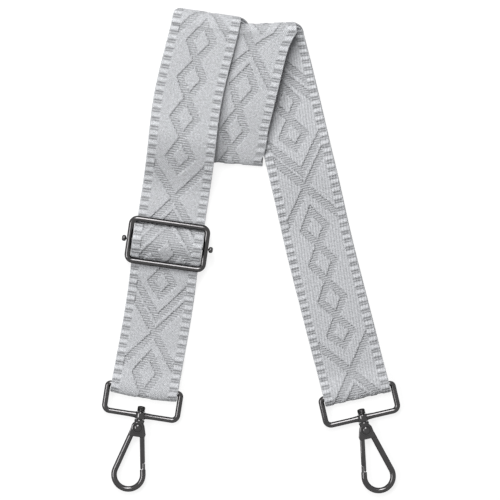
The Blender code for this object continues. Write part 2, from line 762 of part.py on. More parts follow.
def body_mesh():
    """Head, spine, bow and nose of the hook, with the gate's slot, rivet hole and stud socket."""
    root = Vector((SPINE_ROOT_ACROSS, -SPINE_ROOT_DOWN, 0))
    to_bow = BOW - root
    tangent = math.sqrt(to_bow.length_squared - BOW_RADIUS**2)
    turn_in = math.atan2(BOW_RADIUS, tangent)
    spine_down = Matrix.Rotation(-turn_in, 3, "Z") @ to_bow.normalized()
    leave = root + tangent * spine_down
    first = math.degrees(math.atan2(leave.y - BOW.y, leave.x - BOW.x)) % 360
    line = [root] + arc(BOW, BOW_RADIUS, first, 360 + GATE_LEAN, BOW_STEPS)
    nose = line[-1] - LAP_LENGTH / 2 * GATE_DOWN
    body = wire(line + [nose], HOOK_WIRE)

    lip = (along_gate(GATE_LENGTH + NODE_GAP, 0) - PIVOT).dot(GATE_DOWN)
    edge = GATE_WIDTH / 2
    corners = [
        along_gate(lip - LAP_LENGTH, SEAT_GAP / 2),
        along_gate(lip - LAP_LENGTH, edge),
        along_gate(lip + LAP_LENGTH / 2, edge),
        along_gate(lip + LAP_LENGTH / 2, SEAT_GAP / 2),
    ]
    body = combine(body, plate(corners, GATE_THICKNESS), "UNION")

    foot_half = HEAD_FOOT_WIDTH / 2
    foot = -HOOK_HEAD_TOP - HEAD_LENGTH
    outline = arc(PIVOT, CHEEK_RADIUS, 20, 160, FOLD_STEPS) + [
        Vector((-foot_half, foot + foot_half / 3, 0)),
        Vector((-foot_half + HEAD_BEVEL, foot, 0)),
        Vector((foot_half - HEAD_BEVEL, foot, 0)),
        Vector((foot_half, foot + foot_half / 3, 0)),
    ]
    body = combine(body, plate(outline, HEAD_THICKNESS, HEAD_BEVEL), "UNION")
    cheek_half = CHEEK_THICKNESS / 2
    cheek = turned(
        [
            (0, cheek_half),
            (CHEEK_RADIUS - 2 * HEAD_BEVEL, cheek_half),
            (CHEEK_RADIUS - HEAD_BEVEL, cheek_half - HEAD_BEVEL),
            (CHEEK_RADIUS - HEAD_BEVEL, HEAD_BEVEL - cheek_half),
            (CHEEK_RADIUS - 2 * HEAD_BEVEL, -cheek_half),
            (0, -cheek_half),
        ],
        "Z",
    )
    cheek.transform(Matrix.Translation(PIVOT))
    body = combine(body, cheek, "UNION")
    neck = turned(
        [
            (0, -HOOK_HEAD_TOP),
            (HEAD_NECK_RADIUS - STUD_CHAMFER, -HOOK_HEAD_TOP),
            (HEAD_NECK_RADIUS, -HOOK_HEAD_TOP - STUD_CHAMFER),
            (CHEEK_THICKNESS / 2, -PIVOT_DOWN + KNUCKLE_RADIUS),
            (0, -PIVOT_DOWN + KNUCKLE_RADIUS),
        ],
        "Y",
    )
    body = combine(body, neck, "UNION")

    pocket = drum(KNUCKLE_RADIUS + SEAT_GAP, -SLOT_WIDTH / 2, SLOT_WIDTH / 2, "Z", PIVOT)
    far = foot_half + CUT_OVERRUN
    slot = plate(
        [
            (PIVOT.x - SLOT_BACK, foot - CUT_OVERRUN),
            (far, foot - CUT_OVERRUN),
            (far, PIVOT.y),
            (PIVOT.x + KNUCKLE_RADIUS, PIVOT.y + SLOT_BACK),
            (PIVOT.x, PIVOT.y),
            (PIVOT.x - SLOT_BACK, PIVOT.y - SLOT_BACK),
        ],
        SLOT_WIDTH,
    )
    slot = combine(slot, pocket, "UNION")
    body = combine(body, slot, "DIFFERENCE")
    hole = drum(RIVET_RADIUS + TURN_GAP, -CHEEK_THICKNESS, CHEEK_THICKNESS, "Z", PIVOT)
    body = combine(body, hole, "DIFFERENCE")
    socket = drum(
        STUD_RADIUS + TURN_GAP, -HOOK_HEAD_TOP - STUD_SEAT - TURN_GAP, CUT_OVERRUN - HOOK_HEAD_TOP, "Y"
    )
    return combine(body, socket, "DIFFERENCE")


def gate_mesh():
    """The straight gate: a knuckle round the rivet, the lever and a lap inside the nose's lip."""
    edge = GATE_WIDTH / 2
    lap = GATE_LENGTH
    outline = arc(PIVOT, KNUCKLE_RADIUS, 75, 250, FOLD_STEPS) + [
        along_gate(KNUCKLE_RADIUS + edge, -edge),
        along_gate(lap, -edge),
        along_gate(lap, -SEAT_GAP / 2),
        along_gate(lap - LAP_LENGTH, -SEAT_GAP / 2),
        along_gate(lap - LAP_LENGTH, edge),
        along_gate(edge, edge),
    ]
    gate = plate(outline, GATE_THICKNESS, GATE_BEVEL)
    recess = drum(KNUCKLE_RADIUS + TURN_GAP, SPRING_FLOOR, GATE_THICKNESS, "Z", PIVOT)
    gate = combine(gate, recess, "DIFFERENCE")
    hole = drum(RIVET_RADIUS + TURN_GAP, -GATE_THICKNESS, GATE_THICKNESS, "Z", PIVOT)
    return combine(gate, hole, "DIFFERENCE")


def rivet_mesh():
    """The rivet through both cheeks, with domed heads."""
    seat = CHEEK_THICKNESS / 2 + TURN_GAP
    top = seat + RIVET_HEAD_TALL
    half = [
        (0, top),
        (RIVET_HEAD_RADIUS / 2, top - RIVET_HEAD_TALL / 6),
        (RIVET_HEAD_RADIUS, seat + RIVET_HEAD_TALL / 3),
        (RIVET_HEAD_RADIUS, seat),
        (RIVET_RADIUS, seat),
    ]
    mesh = turned(half + [(radius, -height) for radius, height in reversed(half)], "Z")
    mesh.transform(Matrix.Translation(PIVOT))
    return mesh


def spring_mesh():
    """The torsion spring round the rivet, in the gate's recess."""
    low = SPRING_FLOOR + TURN_GAP + SPRING_WIRE / 2
    steps = int(SPRING_TURNS * ROUND_SIDES)
    points = []
    for step in range(steps + 1):
        turn = 2 * math.pi * step / ROUND_SIDES
        tail = SPRING_TAIL if step in (0, steps) else 0
        radius = SPRING_RADIUS - tail / 2
        points.append(
            PIVOT
            + Vector((radius * math.cos(turn), radius * math.sin(turn), 0))
            + Vector((0, 0, low + SPRING_PITCH * step / ROUND_SIDES))
        )
    return wire(points, SPRING_WIRE, resolution=1)


def hook(side, meshes, matrix, finish, home):
    """One hook with its ring, each moving piece's origin on its own axis."""
    origins = {
        "ring": (0, RING_HEIGHT, 0),
        "swivel_stud": (0, 0, 0),
        "body": (0, 0, 0),
        "gate": PIVOT,
        "gate_pin": PIVOT,
        "gate_spring": PIVOT,
    }
    for piece, mesh in meshes.items():
        stand(f"hook_{side}_{piece}", mesh, matrix, origins[piece], finish, home)


def ring_matrix(rail, lean, half_turn):
    """Where a hook's frame lies, with its ring's high bar at the rail's first point."""
    x, y, _ = rail.at(0)
    matrix = Matrix.Translation((x, y, RING_BAR_HEIGHT)) @ Matrix.Rotation(math.radians(lean), 4, "Z")
    if half_turn:
        matrix = matrix @ Matrix.Rotation(math.pi, 4, "Y")
    return matrix @ Matrix.Translation((0, -RING_HEIGHT, 0))


def centre_on_origin(home):
    """Moves the whole part, through a parent empty, onto the middle of its box's underside."""
    bpy.context.view_layer.update()
    graph = bpy.context.evaluated_depsgraph_get()
    corners = []
    for item in home.objects:
        shown = item.evaluated_get(graph)
        corners += [shown.matrix_world @ v.co for v in shown.data.vertices]
    points = np.array(corners)
    low, high = points.min(axis=0), points.max(axis=0)
    base = bpy.data.objects.new("strap_base", None)
    for item in home.objects:
        item.parent = base
    home.objects.link(base)
    base.location = (-(low[0] + high[0]) / 2, -(low[1] + high[1]) / 2, -low[2])
    bpy.context.view_layer.update()


def main():
    """Builds the strap."""
    clear_scene()
    home = new_collection("detachable_bag_strap")
    new_collection("helpers")
    cloth = material("light_grey_webbing", (0.66, 0.67, 0.69), 0.85, 0)
    metal = material("black_nickel", (0.11, 0.10, 0.10), 0.25, 1)
    rails = [
        Rail(rows) for rows in (LEFT_LEG_SHARES, COIL_DOWN_SHARES, COIL_UP_SHARES, RIGHT_LEG_SHARES)
    ]
    webbing(rails, cloth, home)
    slider(rails[0], metal, home)
    meshes = {
        "ring": ring_mesh(),
        "swivel_stud": stud_mesh(),
        "body": body_mesh(),
        "gate": gate_mesh(),
        "gate_pin": rivet_mesh(),
        "gate_spring": spring_mesh(),
    }
    hook("a", meshes, ring_matrix(rails[0], RING_A_LEAN, False), metal, home)
    hook("b", meshes, ring_matrix(rails[3], RING_B_LEAN, True), metal, home)
    centre_on_origin(home)


main()
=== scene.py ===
"""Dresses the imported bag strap: jacquard webbing, sewing thread and black-nickel hardware.

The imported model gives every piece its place. The webbing is laid here again along the
same cross lines, only closer together, with the woven pattern raised and sunk in its
faces. Lengths are in metres and +Z is up. The strap's own frame has y = 0 on the line
of the two ring bars, and the weave is measured in millimetres.
"""

import logging
import math
from dataclasses import dataclass, field
from enum import Enum

import bpy
import numpy as np
from mathutils import Matrix, Vector

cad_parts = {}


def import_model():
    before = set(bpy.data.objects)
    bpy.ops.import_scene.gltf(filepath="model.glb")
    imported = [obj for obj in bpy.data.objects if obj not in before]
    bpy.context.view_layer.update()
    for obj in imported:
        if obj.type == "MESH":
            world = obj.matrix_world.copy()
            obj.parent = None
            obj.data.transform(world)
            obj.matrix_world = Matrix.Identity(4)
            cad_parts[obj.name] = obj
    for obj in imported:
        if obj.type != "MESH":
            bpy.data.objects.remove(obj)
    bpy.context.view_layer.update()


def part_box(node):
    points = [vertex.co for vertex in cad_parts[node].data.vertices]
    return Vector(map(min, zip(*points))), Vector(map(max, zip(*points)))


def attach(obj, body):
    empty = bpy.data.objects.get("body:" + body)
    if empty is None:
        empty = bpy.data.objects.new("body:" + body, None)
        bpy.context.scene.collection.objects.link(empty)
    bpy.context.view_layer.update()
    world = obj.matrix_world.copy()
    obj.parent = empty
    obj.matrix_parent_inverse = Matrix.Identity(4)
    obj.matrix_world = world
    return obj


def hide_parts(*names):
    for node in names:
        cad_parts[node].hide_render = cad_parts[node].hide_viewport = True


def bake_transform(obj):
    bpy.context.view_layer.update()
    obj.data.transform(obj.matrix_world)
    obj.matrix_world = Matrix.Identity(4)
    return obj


LOG = logging.getLogger("bag_strap")
MILLIMETRE = 0.001
TINY = 0.000002

Array = np.ndarray
Material = bpy.types.Material
Piece = bpy.types.Object
Socket = bpy.types.NodeSocket


# ---------------------------------------------------------------- finishes


class Tree:
    """Adds shader nodes to one material or world, a line for each."""

    def __init__(self, owner: bpy.types.ID) -> None:
        """Clears the owner's tree.

        Args:
            owner: A material or world that uses nodes.
        """
        self.nodes = owner.node_tree.nodes
        self.links = owner.node_tree.links
        self.nodes.clear()

    def add(self, kind: str, **settings: object) -> bpy.types.Node:
        """Adds a node.

        Args:
            kind: The node's type name.
            settings: Properties of the node to set.

        Returns:
            The new node.
        """
        node = self.nodes.new(kind)
        for name, value in settings.items():
            setattr(node, name, value)
        return node

    def put(self, socket: Socket, value: object) -> None:
        """Links another socket to this one, or sets this one's value.

        Args:
            socket: An input.
            value: A socket or a constant.
        """
        if isinstance(value, Socket):
            self.links.new(value, socket)
        else:
            socket.default_value = value

    def math(self, operation: str, *values: object) -> Socket:
        """Adds a Math node.

        Args:
            operation: What it does, such as MULTIPLY.
            values: Sockets or numbers, in order.

        Returns:
            Its result.
        """
        node = self.add("ShaderNodeMath", operation=operation)
        for socket, value in zip(node.inputs, values):
            self.put(socket, value)
        return node.outputs[0]

    def chain(self, operation: str, values: tuple[object, ...]) -> Socket:
        """Joins several values by one operation.

        Args:
            operation: ADD or MULTIPLY.
            values: Sockets or numbers, in order.

        Returns:
            The result.
        """
        result = values[0]
        for value in values[1:]:
            result = self.math(operation, result, value)
        return result

    def total(self, *values: object) -> Socket:
        """The sum of several values."""
        return self.chain("ADD", values)

    def product(self, *values: object) -> Socket:
        """The product of several values."""
        return self.chain("MULTIPLY", values)

    def wave(self, place: Socket, period: float) -> Socket:
        """A cosine of a place, from -1 to 1, with that period."""
        return self.math("COSINE", self.math("MULTIPLY_ADD", place, 2 * math.pi / period, 0.0))

    def noise(self, place: Socket, scale: float, detail: float) -> Socket:
        """Noise about 0, from about -0.5 to 0.5.

        Args:
            place: The coordinates that it follows.
            scale: How fine it is.
            detail: How many finer layers it has.

        Returns:
            The noise's value.
        """
        node = self.add("ShaderNodeTexNoise")
        for name, value in (("Vector", place), ("Scale", scale), ("Detail", detail)):
            self.put(node.inputs[name], value)
        return self.math("SUBTRACT", node.outputs["Fac"], 0.5)

    def tinted(self, colour: tuple[float, float, float], shade: Socket) -> Socket:
        """Makes a colour lighter or darker.

        Args:
            colour: The colour.
            shade: The factor.

        Returns:
            The new colour.
        """
        node = self.add("ShaderNodeVectorMath", operation="SCALE")
        node.inputs[0].default_value = colour
        self.put(node.inputs["Scale"], shade)
        return node.outputs["Vector"]

    def attribute(self, name: str, output: str = "Fac") -> Socket:
        """An attribute of the mesh."""
        return self.add("ShaderNodeAttribute", attribute_name=name).outputs[output]

    def split(self, place: Socket) -> tuple[Socket, ...]:
        """Takes coordinates apart.

        Args:
            place: The coordinates.

        Returns:
            Their X, Y and Z.
        """
        node = self.add("ShaderNodeSeparateXYZ")
        self.put(node.inputs[0], place)
        return tuple(node.outputs)

    def bump(self, height: Socket, distance: float) -> Socket:
        """Turns a height into a normal.

        Args:
            height: The height.
            distance: How far a height of 1 stands out, in metres.

        Returns:
            The normal.
        """
        node = self.add("ShaderNodeBump")
        node.inputs["Distance"].default_value = distance
        self.put(node.inputs["Height"], height)
        return node.outputs["Normal"]

    def shown(self) -> Socket:
        """Tells what is looked at from what only lights the strap.

        Returns:
            1 for what the camera sees, also in metal or through glass, and 0 for the rest.
        """
        path = self.add("ShaderNodeLightPath").outputs
        seen = self.math("MAXIMUM", path["Is Camera Ray"], path["Is Glossy Ray"])
        return self.math("MAXIMUM", seen, path["Is Transmission Ray"])

    def shader(self, kind: str, inputs: dict[str | int, object]) -> Socket:
        """Adds a shader.

        Args:
            kind: The node's type name.
            inputs: What its inputs get, by name or by index.

        Returns:
            Its result.
        """
        node = self.add(kind)
        for key, value in inputs.items():
            self.put(node.inputs[key], value)
        return node.outputs[0]

    def end(self, shader: Socket, kind: str = "ShaderNodeOutputMaterial") -> None:
        """Ends the tree in a shader."""
        self.put(self.add(kind).inputs["Surface"], shader)

    def principled(self, inputs: dict[str, object]) -> None:
        """Ends the tree in a Principled shader with these inputs."""
        self.end(self.shader("ShaderNodeBsdfPrincipled", inputs))


def new_material(name: str) -> tuple[Material, Tree]:
    """Makes a material with nothing in it.

    Args:
        name: Its name.

    Returns:
        The material and its tree.
    """
    made = bpy.data.materials.new(name)
    made.use_nodes = True
    return made, Tree(made)


@dataclass(frozen=True)
class GroundLook:
    """How strongly each part of the weave shows on one kind of ground.

    Attributes:
        base: Tone of the plain ground.
        depth: Height of the ground's relief.
        painted_relief_shade: Painted shade that follows the ground's relief, lighter where it
            stands up and darker in its hollows.
        bars: Painted shade that follows the ribs in the sunk bands.
        painted_sink_shade: Painted shade over a sunk band as a whole.
        speckle: Tone of the single yarns.
        weft_period: Spacing of the yarns that cross the ground, in millimetres.
        weft_share: Their share of the ground's relief.
    """

    base: float
    depth: float
    painted_relief_shade: float
    bars: float
    painted_sink_shade: float
    speckle: float
    weft_period: float
    weft_share: float


class Ground(Enum):
    """How the ground of the weave looks on one stretch of the strap."""

    KNOTS = GroundLook(0.90, 0.090, 0.180, 0.170, -0.03, 1.00, 0.55, 0.3)
    LINES = GroundLook(0.87, 0.070, 0.090, 0.100, -0.01, 0.65, 0.9, 0.4)


@dataclass(frozen=True)
class WebbingFinish:
    """Light grey jacquard webbing, with ribs in its sunk bands and a fine ground.

    Spacings and heights are in millimetres, and a noise has its fineness and its detail.
    """

    colour: tuple[float, float, float] = (0.590, 0.600, 0.622)
    roughness: float = 0.88
    specular: float = 0.25
    sheen: float = 0.12
    sheen_roughness: float = 0.5
    rib_pitch: float = 1.28
    knot_across: float = 1.15
    knot_along: float = 0.95
    line_pitch: float = 1.6
    line_slant: float = -0.115
    line_wander: float = 0.3
    yarn_noise: tuple[float, float] = (1.5, 3.0)
    coarse_noise: tuple[float, float] = (0.75, 2.0)
    cloud_noise: tuple[float, float] = (0.045, 1.0)
    unevenness: float = 2.4
    sway: float = 0.55
    rib_height: float = 0.130
    yarn_height: float = 0.30
    band_height: float = -0.38
    coarse_tone: float = 0.60
    # painted shade down the sides of the sunk bands, mottled by noise
    side_shade_mottle: float = 0.90
    side_painted_shade: float = -0.05
    cloud_tone: float = 0.07

    def material(self, ground: Ground) -> Material:
        """Makes the cloth's material.

        Args:
            ground: The look of its ground.

        Returns:
            A material that reads the attributes weave, tone and rib.
        """
        look = ground.value
        made, tree = new_material(f"webbing_{ground.name.lower()}")
        weave = tree.attribute("weave", "Vector")
        across, along, _ = tree.split(weave)
        tone, rib = tree.attribute("tone"), tree.attribute("rib")
        plain = tree.math("SUBTRACT", 1.0, rib)
        # marks the sides of the sunk bands, which the shade below darkens as painted shade
        edge = tree.product(rib, plain, 4.0)  # 1 halfway down the side of a band
        yarn = tree.noise(weave, *self.yarn_noise)
        coarse = tree.noise(weave, *self.coarse_noise)
        cloudy = tree.noise(weave, *self.cloud_noise)
        uneven = tree.total(1.0, tree.product(coarse, self.unevenness))
        swayed = tree.total(along, tree.product(coarse, self.sway))
        ladder = tree.product(tree.wave(swayed, self.rib_pitch), uneven)
        if ground is Ground.KNOTS:
            knot = tree.wave(across, self.knot_across), tree.wave(swayed, self.knot_along)
            figure = tree.product(*knot, uneven)
        else:
            slant = tree.product(along, self.line_slant)
            slanted = tree.total(across, slant, tree.product(coarse, self.line_wander))
            figure = tree.wave(slanted, self.line_pitch)
        weft = tree.product(tree.wave(along, look.weft_period), look.weft_share)
        surface = tree.total(figure, weft)
        height = tree.total(
            tree.product(surface, plain, look.depth),
            tree.product(ladder, rib, self.rib_height),
            tree.product(yarn, self.yarn_height),
            tree.product(rib, self.band_height),
        )
        # The shade holds painted shade: lighter on the relief's tops and darker in its hollows, on
        # the ribs, over the sunk bands and down their sides.
        shade = tree.total(
            look.base,
            tree.product(surface, plain, look.painted_relief_shade),
            tree.product(ladder, rib, look.bars),
            tree.product(rib, look.painted_sink_shade),
            tree.product(yarn, look.speckle),
            tree.product(coarse, self.coarse_tone),
            tree.product(edge, coarse, self.side_shade_mottle),
            tree.product(edge, self.side_painted_shade),
            tree.product(cloudy, self.cloud_tone),
        )
        tree.principled(
            {
                "Base Color": tree.tinted(self.colour, tree.product(tone, shade)),
                "Roughness": self.roughness,
                "Specular IOR Level": self.specular,
                "Sheen Weight": self.sheen,
                "Sheen Roughness": self.sheen_roughness,
                "Normal": tree.bump(height, MILLIMETRE),
            }
        )
        return made


@dataclass(frozen=True)
class ThreadFinish:
    """Pale sewing thread with a fine twist."""

    colour: tuple[float, float, float] = (0.78, 0.79, 0.80)
    roughness: float = 0.6
    twists_per_metre: float = 2600.0
    ridge: float = 0.00004
    tone: float = 0.96
    # painted shade: the twist's ridges lighter and its grooves darker, following its bump
    twist_painted_shade: float = 0.05

    def material(self) -> Material:
        """Makes the thread's material.

        Returns:
            The material.
        """
        made, tree = new_material("sewing_thread")
        x, y, _ = tree.split(tree.add("ShaderNodeTexCoord").outputs["Object"])
        turns = tree.product(tree.math("ADD", x, y), self.twists_per_metre * 2 * math.pi)
        strand = tree.math("SINE", turns)
        shade = tree.total(self.tone, tree.product(strand, self.twist_painted_shade))
        tree.principled(
            {
                "Base Color": tree.tinted(self.colour, shade),
                "Roughness": self.roughness,
                "Normal": tree.bump(strand, self.ridge),
            }
        )
        return made


@dataclass(frozen=True)
class MetalFinish:
    """Polished metal plate with faint polishing marks and a little unevenness.

    A noise has its fineness and its detail.
    """

    name: str = "black_nickel"
    colour: tuple[float, float, float] = (0.082, 0.080, 0.081)
    rim: tuple[float, float, float] = (0.01, 0.01, 0.01)
    roughness: float = 0.15
    unevenness: float = 0.00002
    cast_noise: tuple[float, float] = (260.0, 2.0)
    mark_noise: tuple[float, float] = (2400.0, 3.0)
    mark_height: float = 0.25
    cast_tone: float = 0.35
    mark_tone: float = 0.2
    cast_haze: float = 0.10
    mark_haze: float = 0.08

    def material(self) -> Material:
        """Makes the metal's material.

        Returns:
            The material.
        """
        made, tree = new_material(self.name)
        place = tree.add("ShaderNodeTexCoord").outputs["Object"]
        cast = tree.noise(place, *self.cast_noise)
        marks = tree.noise(place, *self.mark_noise)
        tones = tree.product(cast, self.cast_tone), tree.product(marks, self.mark_tone)
        haze = tree.product(cast, self.cast_haze), tree.product(marks, self.mark_haze)
        height = tree.total(cast, tree.product(marks, self.mark_height))
        tree.principled(
            {
                "Base Color": tree.tinted(self.colour, tree.total(1.0, *tones)),
                "Metallic": 1.0,
                "Specular Tint": (*self.rim, 1),
                "Roughness": tree.total(self.roughness, *haze),
                "Normal": tree.bump(height, self.unevenness),
            }
        )
        return made


# ---------------------------------------------------------------- how the band is laid


def ease(share: Array) -> Array:
    """Goes from 0 to 1 with level ends."""
    share = np.clip(share, 0, 1)
    return share * share * (3 - 2 * share)


def bell(share: Array) -> Array:
    """1 in the middle, 0 with level ends at -1 and 1."""
    return 0.5 * (1 + np.cos(np.pi * np.clip(share, -1, 1)))


def cross_line(turn: Array) -> Array:
    """The unit vectors across the band for these turns."""
    return np.stack([np.cos(turn), np.sin(turn), np.zeros_like(turn)], axis=-1)


def summed(steps: Array) -> Array:
    """The running total of the steps, from 0."""
    return np.concatenate([[0], np.cumsum(steps)])


def chained(parts: list[Array]) -> Array:
    """Joins parts, each of which starts with the row that the last one ends with."""
    return np.concatenate([parts[0], *(part[1:] for part in parts[1:])])


@dataclass
class Run:
    """Cross lines of a stretch of the band.

    Attributes:
        centres: Their middles.
        acrosses: Their directions.
        along: Where each lies along the weave.
        swell: How much wider than the band each is, where the band is pressed flat.
        sag: How far the middle of each hangs past its ends, down the leg.
    """

    centres: Array
    acrosses: Array
    along: Array
    swell: Array | float = 0.0
    sag: Array | float = 0.0

    def length(self) -> float:
        """The stretch's length along its middle."""
        return float(np.linalg.norm(np.diff(self.centres, axis=0), axis=1).sum())

    def part(self, first: int, last: int) -> "Run":
        """Takes a part of the stretch.

        Args:
            first: Index of its first cross line.
            last: Index of its last cross line.

        Returns:
            That part.
        """
        keep = slice(first, last + 1)
        swell = np.broadcast_to(np.asarray(self.swell, float), len(self.centres))
        return Run(self.centres[keep], self.acrosses[keep], self.along[keep], swell[keep])

    def normals(self) -> Array:
        """Finds which way the band faces.

        Returns:
            The unit vector out of the band's upper side at each cross line.
        """
        tangents = np.gradient(self.centres, axis=0)
        normals = np.cross(self.acrosses, tangents)
        return normals / np.linalg.norm(normals, axis=1)[:, None]


class Rail:
    """A smooth line in plan, measured from its first point, that also turns the cross line."""

    STEPS = 24  # between two rows
    SAMPLES = 9  # averaged by smooth_at
    TAPER = 1.2  # how far their weights reach past the outermost

    def __init__(
        self,
        rows: list[tuple[float, float, float, float]],
        spread: float,
        width: float,
        length: float,
    ) -> None:
        """Runs a smooth line through the rows.

        Args:
            rows: x as a share of spread and as a share of width, whose two lengths are
                added, y as a share of length, and the cross line's turn in degrees.
            spread: The distance between the two ring bars.
            width: The webbing's width.
            length: The laid length of the legs.
        """
        table = np.array(rows, float)
        x = table[:, 0] * spread + table[:, 1] * width
        keys = np.column_stack([x, table[:, 2] * length, np.radians(table[:, 3])])
        keys = np.vstack([2 * keys[0] - keys[1], keys, 2 * keys[-1] - keys[-2]])
        points = []
        for before, start, end, after in zip(keys, keys[1:], keys[2:], keys[3:]):
            for t in np.arange(0, 1, 1 / self.STEPS):
                points.append(
                    start
                    + 0.5 * t * (end - before)
                    + t * t * (before - 2.5 * start + 2 * end - 0.5 * after)
                    + t * t * t * (1.5 * (start - end) + 0.5 * (after - before))
                )
        points.append(keys[-2])
        self.points = np.array(points)
        steps = np.linalg.norm(np.diff(self.points[:, :2], axis=0), axis=1)
        self.distances = summed(steps)
        self.length = float(self.distances[-1])

    def at(self, distance: Array) -> tuple[Array, Array, Array]:
        """Finds places on the rail, which runs straight on before its first point.

        Args:
            distance: How far along the rail they lie.

        Returns:
            Their x and y, and the cross line's turn.
        """
        distance = np.asarray(distance, float)
        inside = np.clip(distance, 0, self.length)
        x, y, turn = (np.interp(inside, self.distances, column) for column in self.points.T)
        before = np.minimum(distance, 0)
        return x - before * np.sin(turn), y + before * np.cos(turn), turn

    def where(self, y: float) -> float:
        """The distance at which the rail has this y."""
        order = np.argsort(self.points[:, 1])
        return float(np.interp(y, self.points[order, 1], self.distances[order]))

    def smooth_at(self, distance: Array, reach: float = 0.004) -> tuple[Array, Array, Array]:
        """Finds places as at() does, but averaged, so that close cross lines show no corners.

        Args:
            distance: How far along the rail they lie.
            reach: How far to each side is averaged.

        Returns:
            Their x and y, and the cross line's turn.
        """
        offsets = np.linspace(-reach, reach, self.SAMPLES)
        weights = bell(offsets / (reach * self.TAPER))
        weights = weights / weights.sum()
        found = [self.at(np.asarray(distance, float) + offset) for offset in offsets]
        return tuple(sum(w * one[i] for w, one in zip(weights, found)) for i in range(3))


class Side(Enum):
    """Which of the two faces of a stretch is the webbing's right side."""

    UPPER = 1
    LOWER = -1


@dataclass
class StrapLay:
    """The laid strap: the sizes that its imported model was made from, and its cross lines."""

    width: float = 0.038
    thickness: float = 0.0013
    layer_gap: float = 0.0003  # between two layers that lie on each other
    layer_shift: float = -0.0003  # how far the back run lies sideways of the front run
    leg_spread: float = 0.120  # between the two ring bars
    laid_length: float = 0.2063  # from the ring bars to the left top fold
    ring_a_turn: float = -9.0  # degrees
    ring_b_turn: float = 13.0
    fold_bulge: float = 0.0033  # of the right top fold, past its layers
    fold_corner: float = 0.0026  # rounding of a fold's two ends
    turn_loft: float = 0.005  # how far the coil springs up from its turn
    roll_drop: float = 0.0034  # how far the coil's foot rolls down
    roll_length: float = 0.030  # and over which length
    crossing_climb: float = 0.036  # length of the left leg's climb over the coil
    coil_rise: float = 0.0001  # spare height under the left leg there
    right_ramp: float = 0.040  # length of the right leg's fall from the coil
    seat_gap: float = 0.0003
    hook_flap: float = 0.017  # from the ring's bar to the raw end
    flap_cover: float = 0.0015  # how far the front layer stays up past that
    flap_step: float = 0.006  # length of its step down
    loop_taper: float = 0.0125  # length over which a loop closes above its bar
    loop_slack: float = 0.0015  # how far a loop hangs past its seat
    loop_sag: float = 0.0012  # how much further hook A's loop hangs in its middle
    slider_flap_shown: float = 0.0025  # past the slider's frame, underneath
    slider_place_share: float = 0.4014  # its bar, as a share of laid_length
    slider_height: float = 0.027
    slider_wire: float = 0.0032
    slider_rod: float = 0.0032
    arch_slack: float = 0.0003  # between the front run and the sewn end, over the bar
    arch_ease: float = 0.0005  # how far inside the frame's bars the arch starts
    arch_swell: float = 0.045  # how much wider the cloth is where it is pressed over the bar
    arch_round: float = 2.0  # exponent of the arch's round outline
    arch_fullness: float = 0.55  # share of that outline in the arch
    wrap_ease: float = 0.0017  # how far inside the frame's bars the sewn end starts
    leg_ramp: float = 0.018  # length of the climb from the table to the slider
    ring_wire: float = 0.0031
    row_step: float = 0.0004  # between two cross lines
    fewest_steps: int = 4
    fewest_round_steps: int = 24
    origin: Vector = field(default_factory=Vector)

    def __post_init__(self) -> None:
        """Works out the heights of the layers and the four rails."""
        self.pitch = self.thickness + self.layer_gap
        pair = self.thickness + self.pitch
        self.pair_pitch = pair + self.layer_gap
        self.table_layer = self.thickness / 2
        self.table_pair = pair / 2
        self.ring_wrap = (self.ring_wire + self.thickness) / 2 + self.seat_gap
        self.ring_height = self.table_layer + self.ring_wrap
        self.under_frame = self.table_layer + 2 * self.pitch
        frame_foot = self.under_frame + self.thickness / 2 + self.seat_gap
        self.frame_plane = frame_foot + self.slider_wire / 2
        self.rod_wrap = (self.slider_rod + self.thickness) / 2 + self.seat_gap
        self.arch_top = self.frame_plane + self.rod_wrap + self.pitch + self.arch_slack
        self.frame_half = self.slider_height / 2
        self.window_half = self.frame_half - self.slider_wire
        self.arch_half = self.frame_half - self.arch_ease
        self.slider_flap = self.frame_half + self.slider_flap_shown
        self.place = self.slider_place_share * self.laid_length
        self.over_flap = self.table_layer + self.pitch
        self.right_leg_height = self.table_pair + self.pair_pitch
        self.turn_height = self.table_pair + 2 * self.pair_pitch + self.turn_loft
        right_fold_radius = self.pair_pitch / 2 + self.fold_bulge
        self.right_fold_top = self.right_leg_height + 2 * right_fold_radius
        self.crossing_height = self.turn_height + self.pair_pitch + self.coil_rise
        self.left_fold_top = self.right_fold_top + self.pair_pitch
        sizes = (self.leg_spread, self.width, self.laid_length)
        self.left = Rail(
            [
                (-0.4975, 0, 0, self.ring_a_turn),
                (-0.431, 0, 0.218, -10),
                (-0.389, 0, 0.396, -8),
                (-0.330, 0, 0.618, -8),
                (-0.290, 0, 0.795, -9.5),
                (0, -0.660, 0.988, -8.5),
            ],
            *sizes,
        )
        self.down = Rail(
            [(0, -0.494, 0.988, -8.5), (0, -0.395, 0.815, -2), (0, -0.305, 0.638, -4.3)], *sizes
        )
        self.up = Rail(
            [
                (0, -0.240, 0.706, -4.3),
                (0, -0.105, 0.813, -11),
                (0, 0.070, 0.940, -7.5),
                (0, 0.202, 0.9724, 2),
            ],
            *sizes,
        )
        self.right = Rail(
            [
                (0.5025, 0, -0.008, self.ring_b_turn),
                (0.403, 0, 0.218, 14.2),
                (0.331, 0, 0.383, 14),
                (0, 0.841, 0.548, 14),
                (0, 0.734, 0.630, 13),
                (0, 0.524, 0.795, 12.5),
                (0, 0.294, 0.9724, 2),
            ],
            *sizes,
        )

    def set_origin(self, slider_bar: tuple[Vector, Vector]) -> None:
        """Finds where the strap's own frame lies.

        Args:
            slider_bar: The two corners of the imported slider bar's box.
        """
        x, y, _ = self.left.at(self.place)
        middle = (slider_bar[0] + slider_bar[1]) / 2
        self.origin = Vector((middle.x - float(x), middle.y - float(y), 0))

    def spot(self, rail: Rail, distance: float) -> Vector:
        """A point on the table under a rail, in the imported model's frame."""
        x, y, _ = rail.at(distance)
        return Vector((float(x), float(y), 0)) + self.origin

    def spaced(self, start: float, end: float) -> Array:
        """Distances from start to end, about a row step apart."""
        steps = max(self.fewest_steps, int(abs(end - start) / self.row_step))
        return np.linspace(start, end, steps + 1)

